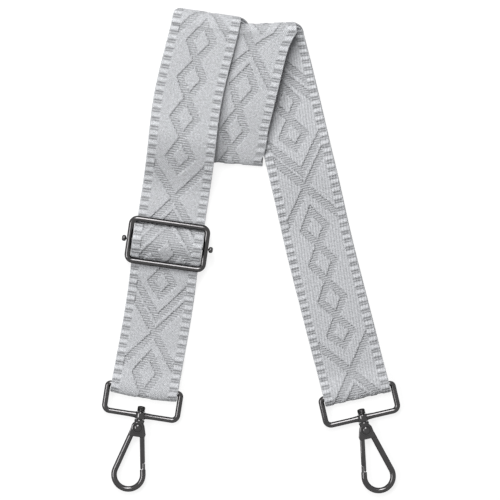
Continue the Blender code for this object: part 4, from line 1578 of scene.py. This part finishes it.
@dataclass
class Bench:
    """Shapes small metal pieces with the modelling operators, one piece at a time."""

    smooth_angle: float = math.radians(32)  # above which an edge stays sharp
    bevel_angle: float = math.radians(40)  # above which a plate's edge is rounded

    def trace(self, name: str, points: list[Vector]) -> Piece:
        """Draws a chain of edges by extruding a single point.

        Args:
            name: The piece's name.
            points: Where the chain goes.

        Returns:
            The piece, in edit mode.
        """
        bpy.ops.object.select_all(action="DESELECT")
        bpy.ops.mesh.primitive_plane_add(size=MILLIMETRE)
        item = bpy.context.object
        item.name = item.data.name = name
        bpy.ops.object.mode_set(mode="EDIT")
        bpy.ops.mesh.merge(type="CENTER")
        bpy.ops.transform.translate(value=points[0])
        for before, after in zip(points, points[1:]):
            self.straight(Vector(after) - Vector(before))
        return item

    def wire(
        self, name: str, start: Vector, heading: float, diameter: float, sides: int = 28
    ) -> Piece:
        """Starts a round wire with the circle across its first end.

        Args:
            name: The piece's name.
            start: The middle of that end.
            heading: The direction in XY in which the wire leaves, in radians.
            diameter: The wire's diameter.
            sides: How many sides it has.

        Returns:
            The piece, in edit mode with the circle selected.
        """
        bpy.ops.object.select_all(action="DESELECT")
        bpy.ops.mesh.primitive_circle_add(vertices=sides, radius=diameter / 2)
        item = bpy.context.object
        item.name = item.data.name = name
        bpy.ops.object.mode_set(mode="EDIT")
        bpy.ops.mesh.select_all(action="SELECT")
        for axis, angle in (("Y", math.pi / 2), ("Z", -heading)):
            bpy.ops.transform.rotate(value=angle, orient_axis=axis, center_override=(0, 0, 0))
        bpy.ops.transform.translate(value=start)
        return item

    def straight(self, offset: Vector) -> None:
        """Extrudes what is selected by an offset."""
        bpy.ops.mesh.extrude_region_move(TRANSFORM_OT_translate={"value": tuple(offset)})

    def swell(self, factor: float, middle: Vector) -> None:
        """Makes the selected end wider about its middle."""
        bpy.ops.transform.resize(value=(factor, factor, factor), center_override=tuple(middle))

    def corner(self, centre: Vector, degrees: float, steps: int) -> None:
        """Spins the selected end round an upright axis, anticlockwise seen from above.

        Args:
            centre: Where the axis stands.
            degrees: How far the end turns.
            steps: How many steps it takes.
        """
        bpy.ops.mesh.spin(
            steps=steps,
            dupli=False,
            angle=-math.radians(degrees),
            center=tuple(centre),
            axis=(0, 0, 1),
        )

    def close(self, item: Piece) -> Piece:
        """Merges what coincides, fills open ends and turns the faces outwards.

        Args:
            item: The piece, in edit mode.

        Returns:
            The piece, in object mode.
        """
        bpy.ops.mesh.select_all(action="SELECT")
        bpy.ops.mesh.remove_doubles(threshold=TINY)
        bpy.ops.mesh.select_all(action="DESELECT")
        bpy.ops.mesh.select_mode(type="VERT")
        bpy.ops.mesh.select_non_manifold(
            use_wire=False, use_multi_face=False, use_non_contiguous=False, use_verts=False
        )
        bpy.ops.object.mode_set(mode="OBJECT")
        is_open = any(edge.select for edge in item.data.edges)
        bpy.ops.object.mode_set(mode="EDIT")
        if is_open:
            bpy.ops.mesh.edge_face_add()
        bpy.ops.mesh.select_all(action="SELECT")
        bpy.ops.mesh.normals_make_consistent(inside=False)
        bpy.ops.object.mode_set(mode="OBJECT")
        return item

    def turned(self, name: str, profile: Profile, axis: Axis, sides: int = 32) -> Piece:
        """Spins a profile right round an axis through the origin.

        Args:
            name: The piece's name.
            profile: Its profile, which starts and ends on the axis.
            axis: The axis.
            sides: How many sides the piece has.

        Returns:
            The piece.
        """
        item = self.trace(name, [Vector((radius, 0, height)) for radius, height in profile])
        bpy.ops.mesh.select_all(action="SELECT")
        bpy.ops.mesh.spin(
            steps=sides, dupli=False, angle=2 * math.pi, center=(0, 0, 0), axis=(0, 0, 1)
        )
        self.close(item)
        item.data.transform(axis.value)
        return item

    def plate(
        self,
        name: str,
        outline: list[Vector],
        thickness: float,
        bevel: float = 0.0,
        segments: int = 3,
    ) -> Piece:
        """Fills a flat outline, thickens it both ways from z = 0 and rounds its edges.

        Args:
            name: The piece's name.
            outline: Its corners in XY.
            thickness: Its thickness.
            bevel: The width of the rounding, or 0 for none.
            segments: How many faces the rounding has.

        Returns:
            The piece.
        """
        item = self.trace(name, [*outline, outline[0]])
        bpy.ops.mesh.select_all(action="SELECT")
        bpy.ops.mesh.remove_doubles(threshold=TINY)
        bpy.ops.mesh.select_all(action="SELECT")
        bpy.ops.mesh.edge_face_add()
        self.straight(Vector((0, 0, thickness)))
        bpy.ops.mesh.select_all(action="SELECT")
        bpy.ops.transform.translate(value=(0, 0, -thickness / 2))
        self.close(item)
        if bevel:
            rounding = item.modifiers.new("Rounding", "BEVEL")
            rounding.width = bevel
            rounding.segments = segments
            rounding.limit_method = "ANGLE"
            rounding.angle_limit = self.bevel_angle
            bpy.ops.object.modifier_apply(modifier=rounding.name)
        return item

    def pick(self, item: Piece) -> None:
        """Selects one piece alone.

        Args:
            item: The piece.
        """
        bpy.ops.object.select_all(action="DESELECT")
        bpy.context.view_layer.objects.active = item
        item.select_set(True)

    def combine(self, base: Piece, tool: Piece, operation: str) -> None:
        """Joins a tool to a piece or cuts it out, and removes the tool.

        Args:
            base: The piece.
            tool: The tool.
            operation: UNION or DIFFERENCE.
        """
        self.pick(base)
        change = base.modifiers.new("Combine", "BOOLEAN")
        change.operation = operation
        change.object = tool
        change.solver = "EXACT"
        bpy.ops.object.modifier_apply(modifier=change.name)
        bpy.data.objects.remove(tool)
        bpy.ops.object.mode_set(mode="EDIT")
        bpy.ops.mesh.select_all(action="SELECT")
        bpy.ops.mesh.remove_doubles(threshold=TINY)
        bpy.ops.object.mode_set(mode="OBJECT")

    def bore(
        self,
        item: Piece,
        radius: float,
        reach: tuple[float, float],
        axis: Axis,
        place: Vector = Vector(),
    ) -> None:
        """Cuts a plain round hole into a piece.

        Args:
            item: The piece.
            radius: The hole's radius.
            reach: Where the hole starts and ends along its axis.
            axis: The direction of its axis.
            place: A point that its axis passes through.
        """
        low, high = reach
        tool = self.turned("cutter", [(0, high), (radius, high), (radius, low), (0, low)], axis)
        tool.data.transform(Matrix.Translation(place))
        self.combine(item, tool, "DIFFERENCE")

    def place(self, item: Piece, node: str, body: str, matrix: Matrix, finish: Material) -> Piece:
        """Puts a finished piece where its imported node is, with its place in its mesh.

        Args:
            item: The piece, in its assembly's own frame.
            node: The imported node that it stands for.
            body: The body that it moves with.
            matrix: Where the assembly's frame lies.
            finish: Its material.

        Returns:
            The piece.
        """
        item.name = item.data.name = f"plated_{node}"
        item.data.transform(matrix)
        item.data.materials.clear()
        item.data.materials.append(finish)
        self.pick(item)
        bpy.ops.object.shade_smooth_by_angle(angle=self.smooth_angle)
        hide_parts(node)
        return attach(item, body)


@dataclass
class Slider:
    """The adjusting slider: a frame of round wire and a separate bar with a knob at each end."""

    lay: StrapLay
    finish: Material
    bench: Bench = field(default_factory=Bench)
    side_gap: float = 0.00035
    bar_gap: float = 0.0003
    window_spare: float = 0.0013
    corner_radius: float = 0.0049
    neck: float = 0.0017
    knob: float = 0.0034
    knob_length: float = 0.0024
    knob_rounding: float = 0.62  # share of the knob's radius
    knob_steps: int = 7
    rod_chamfer: float = 0.1  # share of the rod's radius
    corner_steps: int = 12
    overrun: float = 0.002

    def __post_init__(self) -> None:
        """Works out the window's width and where the slider lies."""
        self.window_width = self.lay.width + self.window_spare + 2 * self.side_gap
        x, y, turn = (float(value) for value in self.lay.left.at(self.lay.place))
        middle = Vector((x, y, self.lay.frame_plane)) + self.lay.origin
        self.matrix = Matrix.Translation(middle) @ Matrix.Rotation(turn, 4, "Z")

    def frame(self) -> Piece:
        """Makes the frame, with the holes that the bar's necks turn in.

        Returns:
            The frame.
        """
        wire = self.lay.slider_wire
        across = (self.window_width + wire) / 2
        up = (self.lay.slider_height - wire) / 2
        corner = self.corner_radius - wire / 2
        item = self.bench.wire("slider_frame_wire", Vector((corner - across, -up, 0)), 0, wire)
        sides = (2 * (across - corner), 2 * (up - corner)) * 2
        ways = (Vector((1, 0, 0)), Vector((0, 1, 0)), Vector((-1, 0, 0)), Vector((0, -1, 0)))
        for length, way in zip(sides, ways):
            self.bench.straight(way * length)
            x = math.copysign(across - corner, way.x + way.y)
            y = math.copysign(up - corner, way.y - way.x)
            self.bench.corner(Vector((x, y, 0)), 90, self.corner_steps)
        self.bench.close(item)
        reach = across + wire + self.overrun
        self.bench.bore(item, self.neck / 2 + self.bar_gap, (-reach, reach), Axis.X)
        return self.bench.place(item, "slider_frame", "slider", self.matrix, self.finish)

    def bar(self) -> Piece:
        """Makes the centre bar, with its necks and rounded knobs.

        Returns:
            The bar.
        """
        rod = self.lay.slider_rod / 2
        rod_end = self.window_width / 2 - self.bar_gap
        start = self.window_width / 2 + self.lay.slider_wire + self.bar_gap
        end = start + self.knob_length
        rounding = self.knob / 2 * self.knob_rounding
        flat = self.knob / 2 - rounding
        outer = dome(rounding, end - rounding, end, self.knob_steps)
        inner = dome(rounding, start, start + rounding, self.knob_steps)
        front = [(flat + radius, height) for radius, height in outer]
        back = [(flat + radius, 2 * start + rounding - height) for radius, height in inner]
        chamfer = [
            (rod * (1 - self.rod_chamfer), rod_end),
            (rod, rod_end - rod * self.rod_chamfer),
        ]
        half = [(0, end), *front, *back[::-1], (self.neck / 2, rod_end), *chamfer]
        item = self.bench.turned("slider_bar_turned", mirrored(half), Axis.X)
        return self.bench.place(item, "slider_bar", "slider_bar", self.matrix, self.finish)

    def build(self) -> list[Piece]:
        """Makes the frame and the bar."""
        return [self.frame(), self.bar()]


class HookSide(Enum):
    """Which end of the strap a hook is on."""

    A = "a"
    B = "b"


@dataclass
class SwivelHook:
    """A swivel snap hook with its ring. y = 0 on the ring's low bar, and the hook hangs in -Y."""

    lay: StrapLay
    side: HookSide
    finish: Material
    bench: Bench = field(default_factory=Bench)
    seat_gap: float = 0.0003
    turn_gap: float = 0.0002
    overrun: float = 0.002
    ring_wire: float = 0.0031
    ring_gap: float = 0.0003
    ring_height: float = 0.0154
    ring_low_corner: float = 0.0032
    ring_top_corner: float = 0.0017
    boss_wall: float = 0.0013
    boss_top_rise: float = 0.0001
    boss_bottom_rise: float = 0.0004
    flare_rise: float = 0.00025
    flare_length: float = 0.0065
    stud_radius: float = 0.0014
    stud_cap_radius: float = 0.00228
    stud_cap_tall: float = 0.0031
    stud_grooves: int = 3
    groove_depth: float = 0.0003
    chamfer: float = 0.0005
    stud_seat: float = 0.0018
    hook_wire: float = 0.0032
    bow_across: float = -0.0014
    bow_down: float = 0.0342
    bow_radius: float = 0.00815
    head_gap: float = 0.0003
    head_neck: float = 0.0029
    head_length: float = 0.0097
    head_foot: float = 0.0094
    head_wall: float = 0.0008
    head_bevel: float = 0.0004
    cheek_wall: float = 0.0011
    cheek_rim: float = 0.0013
    root: tuple[float, float] = (-0.0030, -0.0095)
    pivot_across: float = -0.0003
    pivot_down: float = 0.0071
    gate_lean: float = 10.0
    gate_width: float = 0.0027
    gate_thickness: float = 0.0022
    gate_rounding: float = 0.0006
    nose_length: float = 0.0029
    nose_gap: float = 0.00026
    lap_length: float = 0.0034
    lap_gap: float = 0.00014
    knuckle_radius: float = 0.0022
    slot_back: float = 0.0014
    rivet_radius: float = 0.00085
    rivet_head: float = 0.0018
    rivet_tall: float = 0.0004
    spring_wall_gap: float = 0.00035
    spring_wire: float = 0.0004
    spring_pitch: float = 0.0005
    spring_turns: float = 1.25
    spring_floor: float = 0.00015
    corner_steps: int = 10
    bow_steps: int = 48
    cap_steps: int = 5
    groove_steps: int = 6
    shield_arc: tuple[float, float] = (20, 160)  # degrees round the pivot
    knuckle_arc: tuple[float, float] = (75, 250)
    arc_steps: int = 24
    cheek_sides: int = 40
    rivet_sides: int = 36
    spring_sides: int = 12
    spring_steps: int = 32  # to a turn

    def __post_init__(self) -> None:
        """Works out the sizes that follow from the others, and where the hook lies."""
        self.flare = self.ring_wire / 2 + self.flare_rise
        self.boss = self.stud_radius + self.seat_gap + self.boss_wall
        self.boss_top = self.flare + self.boss_top_rise
        self.boss_bottom = self.flare + self.boss_bottom_rise
        self.head_top = self.boss_bottom + self.head_gap
        self.slot_width = self.gate_thickness + 2 * self.seat_gap
        self.head_thickness = self.slot_width + 2 * self.head_wall
        self.cheek_thickness = self.slot_width + 2 * self.cheek_wall
        self.cheek_radius = self.knuckle_radius + self.seat_gap + self.cheek_rim
        self.pivot = Vector((self.pivot_across, -self.pivot_down, 0))
        lean = math.radians(self.gate_lean)
        self.gate_down = Vector((math.sin(lean), -math.cos(lean), 0))
        self.gate_out = Vector((-self.gate_down.y, self.gate_down.x, 0))
        self.bow = Vector((self.bow_across, -self.bow_down, 0))
        self.gate_offset = (self.bow - self.pivot).dot(self.gate_out) + self.bow_radius
        self.gate_length = (self.bow - self.pivot).dot(self.gate_down) - self.nose_length
        is_b = self.side is HookSide.B
        rail = self.lay.right if is_b else self.lay.left
        degrees = self.lay.ring_b_turn if is_b else self.lay.ring_a_turn
        x, y, _ = (float(value) for value in rail.at(0))
        middle = Vector((x, y, self.lay.ring_height)) + self.lay.origin
        placed = Matrix.Translation(middle) @ Matrix.Rotation(math.radians(degrees), 4, "Z")
        if is_b:
            placed = placed @ Matrix.Rotation(math.pi, 4, "Y")
        self.matrix = placed @ Matrix.Translation((0, -self.ring_height, 0))

    def placed(self, item: Piece, piece: str, body: str) -> Piece:
        """Puts a piece of this hook in its place."""
        node = f"hook_{self.side.value}_{piece}"
        return self.bench.place(item, node, f"{body}_{self.side.value}", self.matrix, self.finish)

    def on_gate(self, down: float, out: float) -> Vector:
        """A point of the closed gate, down along it from the pivot and out from its middle."""
        return self.pivot + down * self.gate_down + (self.gate_offset + out) * self.gate_out

    def ring(self) -> Piece:
        """Makes the closed ring, which flares into the bored boss of the swivel.

        Returns:
            The ring.
        """
        bench = self.bench
        half = self.lay.width / 2 + self.ring_gap + self.ring_wire / 2
        low, top = self.ring_low_corner, self.ring_top_corner
        neck = self.boss / 2
        flare = 2 * self.flare / self.ring_wire
        item = bench.wire("ring_wire", Vector((low - half, 0, 0)), 0, self.ring_wire)
        bench.straight(Vector((half - low - self.flare_length, 0, 0)))
        bench.straight(Vector((self.flare_length - neck, 0, 0)))
        bench.swell(flare, Vector((-neck, 0, 0)))
        bench.straight(Vector((2 * neck, 0, 0)))
        bench.straight(Vector((self.flare_length - neck, 0, 0)))
        bench.swell(1 / flare, Vector((self.flare_length, 0, 0)))
        bench.straight(Vector((half - low - self.flare_length, 0, 0)))
        bench.corner(Vector((half - low, low, 0)), 90, self.corner_steps)
        bench.straight(Vector((0, self.ring_height - low - top, 0)))
        bench.corner(Vector((half - top, self.ring_height - top, 0)), 90, self.corner_steps)
        bench.straight(Vector((2 * (top - half), 0, 0)))
        bench.corner(Vector((top - half, self.ring_height - top, 0)), 90, self.corner_steps)
        bench.straight(Vector((0, low + top - self.ring_height, 0)))
        bench.corner(Vector((low - half, low, 0)), 90, self.corner_steps)
        bench.close(item)
        upper = eased(self.boss, self.boss_top, self.chamfer)
        lower = eased(self.boss, -self.boss_bottom, self.chamfer, -1)
        profile = [(0, self.boss_top), *upper, *lower[::-1], (0, -self.boss_bottom)]
        bench.combine(item, bench.turned("boss", profile, Axis.Y), "UNION")
        reach = self.boss + self.overrun
        bench.bore(item, self.stud_radius + self.seat_gap, (-reach, reach), Axis.Y)
        return self.placed(item, "ring", "ring")

    def stud(self) -> Piece:
        """Makes the swivel's stud, with a grooved cap above the boss.

        Returns:
            The stud.
        """
        seat = self.boss_top + self.seat_gap
        radius = self.stud_cap_radius
        crown = seat + self.stud_cap_tall
        top = crown - self.chamfer
        profile = dome(radius - self.groove_depth, top, crown, self.cap_steps)
        pitch = (self.stud_cap_tall - self.chamfer) / self.stud_grooves
        for band in range(self.stud_grooves):
            for step in range(1, self.groove_steps + 1):
                share = step / self.groove_steps
                depth = self.groove_depth * math.cos(math.pi * share) ** 2
                profile.append((radius - depth, top - band * pitch - pitch * share))
        foot = -self.head_top - self.stud_seat
        profile += [(self.stud_radius, seat), (self.stud_radius, foot), (0, foot)]
        item = self.bench.turned("stud", profile, Axis.Y)
        return self.placed(item, "swivel_stud", "hook")

    def bow_wire(self) -> Piece:
        """Bends the spine, the bow and the nose from one round wire.

        Returns:
            The bent wire.
        """
        root = Vector((*self.root, 0))
        to_bow = self.bow - root
        tangent = math.sqrt(to_bow.length_squared - self.bow_radius**2)
        down = Matrix.Rotation(-math.atan2(self.bow_radius, tangent), 3, "Z") @ to_bow.normalized()
        leave = root + tangent * down
        first = math.degrees(math.atan2(leave.y - self.bow.y, leave.x - self.bow.x)) % 360
        item = self.bench.wire("body", root, math.atan2(down.y, down.x), self.hook_wire)
        self.bench.straight(tangent * down)
        self.bench.corner(self.bow, 360 + self.gate_lean - first, self.bow_steps)
        self.bench.straight((self.nose_gap - self.nose_length) * self.gate_down)
        return self.bench.close(item)

    def body(self) -> Piece:
        """Makes the hook's head, cheeks, neck, spine, bow and nose, with the gate's slot.

        Returns:
            The hook's body.
        """
        bench = self.bench
        item = self.bow_wire()
        tip = self.on_gate(self.gate_length + self.lap_gap, 0)
        lip = (tip - self.pivot).dot(self.gate_down)
        start, end = lip - self.lap_length, lip + self.lap_length / 2
        inner, edge = self.lap_gap / 2, self.gate_width / 2
        spots = ((start, inner), (start, edge), (end, edge), (end, inner))
        lap = [self.on_gate(down, out) for down, out in spots]
        lap_plate = bench.plate("lip", lap, self.gate_thickness, self.gate_rounding / 2)
        bench.combine(item, lap_plate, "UNION")
        half_foot = self.head_foot / 2
        foot = -self.head_top - self.head_length
        shoulder = foot + half_foot / 3
        shield = arc(self.pivot, self.cheek_radius, *self.shield_arc, self.arc_steps) + [
            Vector((-half_foot, shoulder, 0)),
            Vector((-half_foot + self.head_bevel, foot, 0)),
            Vector((half_foot - self.head_bevel, foot, 0)),
            Vector((half_foot, shoulder, 0)),
        ]
        head = bench.plate("shield", shield, self.head_thickness, self.head_bevel, 4)
        bench.combine(item, head, "UNION")
        half = self.cheek_thickness / 2
        floor = half - self.head_bevel / 2
        dish = self.rivet_head + 2 * self.turn_gap
        face = [(0, floor), (dish, floor), (dish + self.head_bevel / 2, half)]
        face += eased(self.cheek_radius - self.head_bevel, half, self.head_bevel)
        cheek = bench.turned("cheek", mirrored(face), Axis.Z, self.cheek_sides)
        cheek.data.transform(Matrix.Translation(self.pivot))
        bench.combine(item, cheek, "UNION")
        neck_end = -self.pivot_down + self.knuckle_radius
        rim = eased(self.head_neck, -self.head_top, self.chamfer)
        neck = [(0, -self.head_top), *rim, (half, neck_end), (0, neck_end)]
        bench.combine(item, bench.turned("neck", neck, Axis.Y), "UNION")
        self.cut_head(item, foot, half_foot + self.overrun)
        return self.placed(item, "body", "hook")

    def cut_head(self, item: Piece, foot: float, far: float) -> None:
        """Cuts the gate's slot and pocket, the rivet's hole and the stud's socket.

        Args:
            item: The body.
            foot: y at the head's foot.
            far: x outside the head's edge.
        """
        bench = self.bench
        pivot = self.pivot
        slot = [
            (pivot.x - self.slot_back, foot - self.overrun),
            (far, foot - self.overrun),
            (far, pivot.y),
            (pivot.x + self.knuckle_radius, pivot.y + self.slot_back),
            (pivot.x, pivot.y),
            (pivot.x - self.slot_back, pivot.y - self.slot_back),
        ]
        cutter = bench.plate("slot", [Vector((*p, 0)) for p in slot], self.slot_width)
        bench.combine(item, cutter, "DIFFERENCE")
        half_slot = self.slot_width / 2
        pocket = self.knuckle_radius + self.seat_gap
        bench.bore(item, pocket, (-half_slot, half_slot), Axis.Z, pivot)
        through = self.cheek_thickness
        bench.bore(item, self.rivet_radius + self.turn_gap, (-through, through), Axis.Z, pivot)
        socket = (-self.head_top - self.stud_seat - self.turn_gap, self.overrun - self.head_top)
        bench.bore(item, self.stud_radius + self.turn_gap, socket, Axis.Y)

    def gate(self) -> Piece:
        """Makes the gate: its knuckle, its lever and its lap inside the nose's lip.

        Returns:
            The gate.
        """
        bench = self.bench
        edge = self.gate_width / 2
        end = self.gate_length
        inner = -self.lap_gap / 2
        outline = arc(self.pivot, self.knuckle_radius, *self.knuckle_arc, self.arc_steps) + [
            self.on_gate(self.knuckle_radius + edge, -edge),
            self.on_gate(end, -edge),
            self.on_gate(end, inner),
            self.on_gate(end - self.lap_length, inner),
            self.on_gate(end - self.lap_length, edge),
            self.on_gate(edge, edge),
        ]
        item = bench.plate("gate", outline, self.gate_thickness, self.gate_rounding)
        thick = self.gate_thickness
        recess = self.knuckle_radius - self.turn_gap
        bench.bore(item, recess, (self.spring_floor, thick), Axis.Z, self.pivot)
        hole = self.rivet_radius + self.turn_gap
        bench.bore(item, hole, (-thick, thick), Axis.Z, self.pivot)
        return self.placed(item, "gate", "gate")

    def rivet(self) -> Piece:
        """Makes the rivet through both cheeks, with domed heads.

        Returns:
            The rivet.
        """
        seat = self.cheek_thickness / 2 - self.head_bevel / 2 + self.turn_gap
        top = seat + self.rivet_tall + self.head_bevel / 2
        half = dome(self.rivet_head, seat + self.rivet_tall / 4, top)
        half += [(self.rivet_head, seat), (self.rivet_radius, seat)]
        item = self.bench.turned("rivet", mirrored(half), Axis.Z, self.rivet_sides)
        item.data.transform(Matrix.Translation(self.pivot))
        return self.placed(item, "gate_pin", "hook")

    def spring(self) -> Piece:
        """Winds the torsion spring round the rivet, in the gate's recess.

        Returns:
            The spring.
        """
        radius = self.knuckle_radius + self.turn_gap - self.spring_wall_gap - self.spring_wire / 2
        radius = min(radius, self.knuckle_radius - 2 * self.turn_gap - self.spring_wire / 2)
        low = self.spring_floor + self.turn_gap + self.spring_wire / 2
        start = Vector((radius, 0, low))
        item = self.bench.wire("spring", start, math.pi / 2, self.spring_wire, self.spring_sides)
        bpy.ops.object.mode_set(mode="OBJECT")
        winding = item.modifiers.new("Winding", "SCREW")
        winding.angle = 2 * math.pi * self.spring_turns
        winding.screw_offset = self.spring_pitch * self.spring_turns
        winding.steps = winding.render_steps = int(self.spring_steps * self.spring_turns)
        bpy.ops.object.modifier_apply(modifier=winding.name)
        bpy.ops.object.mode_set(mode="EDIT")
        self.bench.close(item)
        item.data.transform(Matrix.Translation(self.pivot))
        return self.placed(item, "gate_spring", "hook")

    def build(self) -> list[Piece]:
        """Makes the six pieces of the hook."""
        return [self.ring(), self.stud(), self.body(), self.gate(), self.rivet(), self.spring()]


# ---------------------------------------------------------------- studio


@dataclass(frozen=True)
class Lamp:
    """A soft rectangular lamp that faces the strap.

    Attributes:
        name: Its name.
        place: Where it stands.
        size: Its width and height.
        power: Its power in watts.
    """

    name: str
    place: tuple[float, float, float]
    size: tuple[float, float]
    power: float

    def build(self) -> None:
        """Puts the lamp up."""
        data = bpy.data.lights.new(self.name, "AREA")
        data.shape = "RECTANGLE"
        data.size, data.size_y = self.size
        data.energy = self.power
        item = bpy.data.objects.new(self.name, data)
        item.location = self.place
        item.rotation_euler = Vector(self.place).to_track_quat("Z", "Y").to_euler()
        item.visible_camera = False
        bpy.context.scene.collection.objects.link(item)


@dataclass
class Studio:
    """A pale floor, soft light from the strap's top end, and the camera straight above."""

    view_width: float = 500 * 0.0005672
    view_middle: tuple[float, float] = (-0.000613, -0.00004)
    camera_height: float = 1.6
    floor_size: float = 6.0
    floor_drop: float = 0.0002
    floor_colour: tuple[float, ...] = (0.85, 0.85, 0.85, 1)
    seen_colour: tuple[float, ...] = (0.22, 0.22, 0.22, 1)  # what the camera sees of it
    seen_glow: float = 0.84  # and what it adds, so that the table shows as white
    key: Lamp = Lamp("key", (-0.10, 0.70, 0.98), (0.36, 0.85), 11.6)
    side: Lamp = Lamp("side", (-0.78, -0.03, 0.90), (0.62, 0.40), 6.8)
    sky: float = 0.22

    def floor(self) -> Piece:
        """Lays a pale table that shows as white and keeps the strap's shadow.

        Returns:
            The table.
        """
        bpy.ops.object.select_all(action="DESELECT")
        bpy.ops.mesh.primitive_plane_add(size=self.floor_size)
        table = bpy.context.object
        table.name = table.data.name = "floor"
        table.data.transform(Matrix.Translation((0, 0, -self.floor_drop)))
        made, tree = new_material("pale_table")
        cloth = tree.shader("ShaderNodeBsdfDiffuse", {"Color": self.floor_colour})
        faint = tree.shader("ShaderNodeBsdfDiffuse", {"Color": self.seen_colour})
        glow = tree.shader("ShaderNodeEmission", {"Strength": self.seen_glow})
        seen = tree.shader("ShaderNodeAddShader", {0: faint, 1: glow})
        tree.end(tree.shader("ShaderNodeMixShader", {0: tree.shown(), 1: cloth, 2: seen}))
        table.data.materials.append(made)
        return table

    def world(self) -> None:
        """Makes an even sky that shows as white."""
        made = bpy.data.worlds.new("sky")
        made.use_nodes = True
        tree = Tree(made)
        strength = tree.total(self.sky, tree.product(tree.shown(), 1 - self.sky))
        sky = tree.shader("ShaderNodeBackground", {"Strength": strength})
        tree.end(sky, "ShaderNodeOutputWorld")
        bpy.context.scene.world = made

    def camera(self) -> None:
        """Looks straight down, with the photograph's framing."""
        data = bpy.data.cameras.new("camera")
        data.lens = data.sensor_width * self.camera_height / self.view_width
        item = bpy.data.objects.new("camera", data)
        item.location = (*self.view_middle, self.camera_height)
        bpy.context.scene.collection.objects.link(item)
        bpy.context.scene.camera = item

    def build(self) -> None:
        """Sets the whole studio up."""
        self.floor()
        self.world()
        self.key.build()
        self.side.build()
        self.camera()
        bpy.context.scene.view_settings.view_transform = "Standard"


def main() -> None:
    """Builds the strap's pieces in order and reports each."""
    logging.basicConfig(level=logging.INFO, format="%(name)s: %(message)s")
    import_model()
    Studio().build()
    lay = StrapLay()
    lay.set_origin(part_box("slider_bar"))
    metal = MetalFinish().material()
    assemblies = [
        Webbing(lay),
        Slider(lay, metal),
        SwivelHook(lay, HookSide.A, metal),
        SwivelHook(lay, HookSide.B, metal),
    ]
    for assembly in assemblies:
        kind = type(assembly).__name__
        for item in assembly.build():
            LOG.info("%s: %s, %d faces", kind, item.name, len(item.data.polygons))


if __name__ == "__main__":
    main()
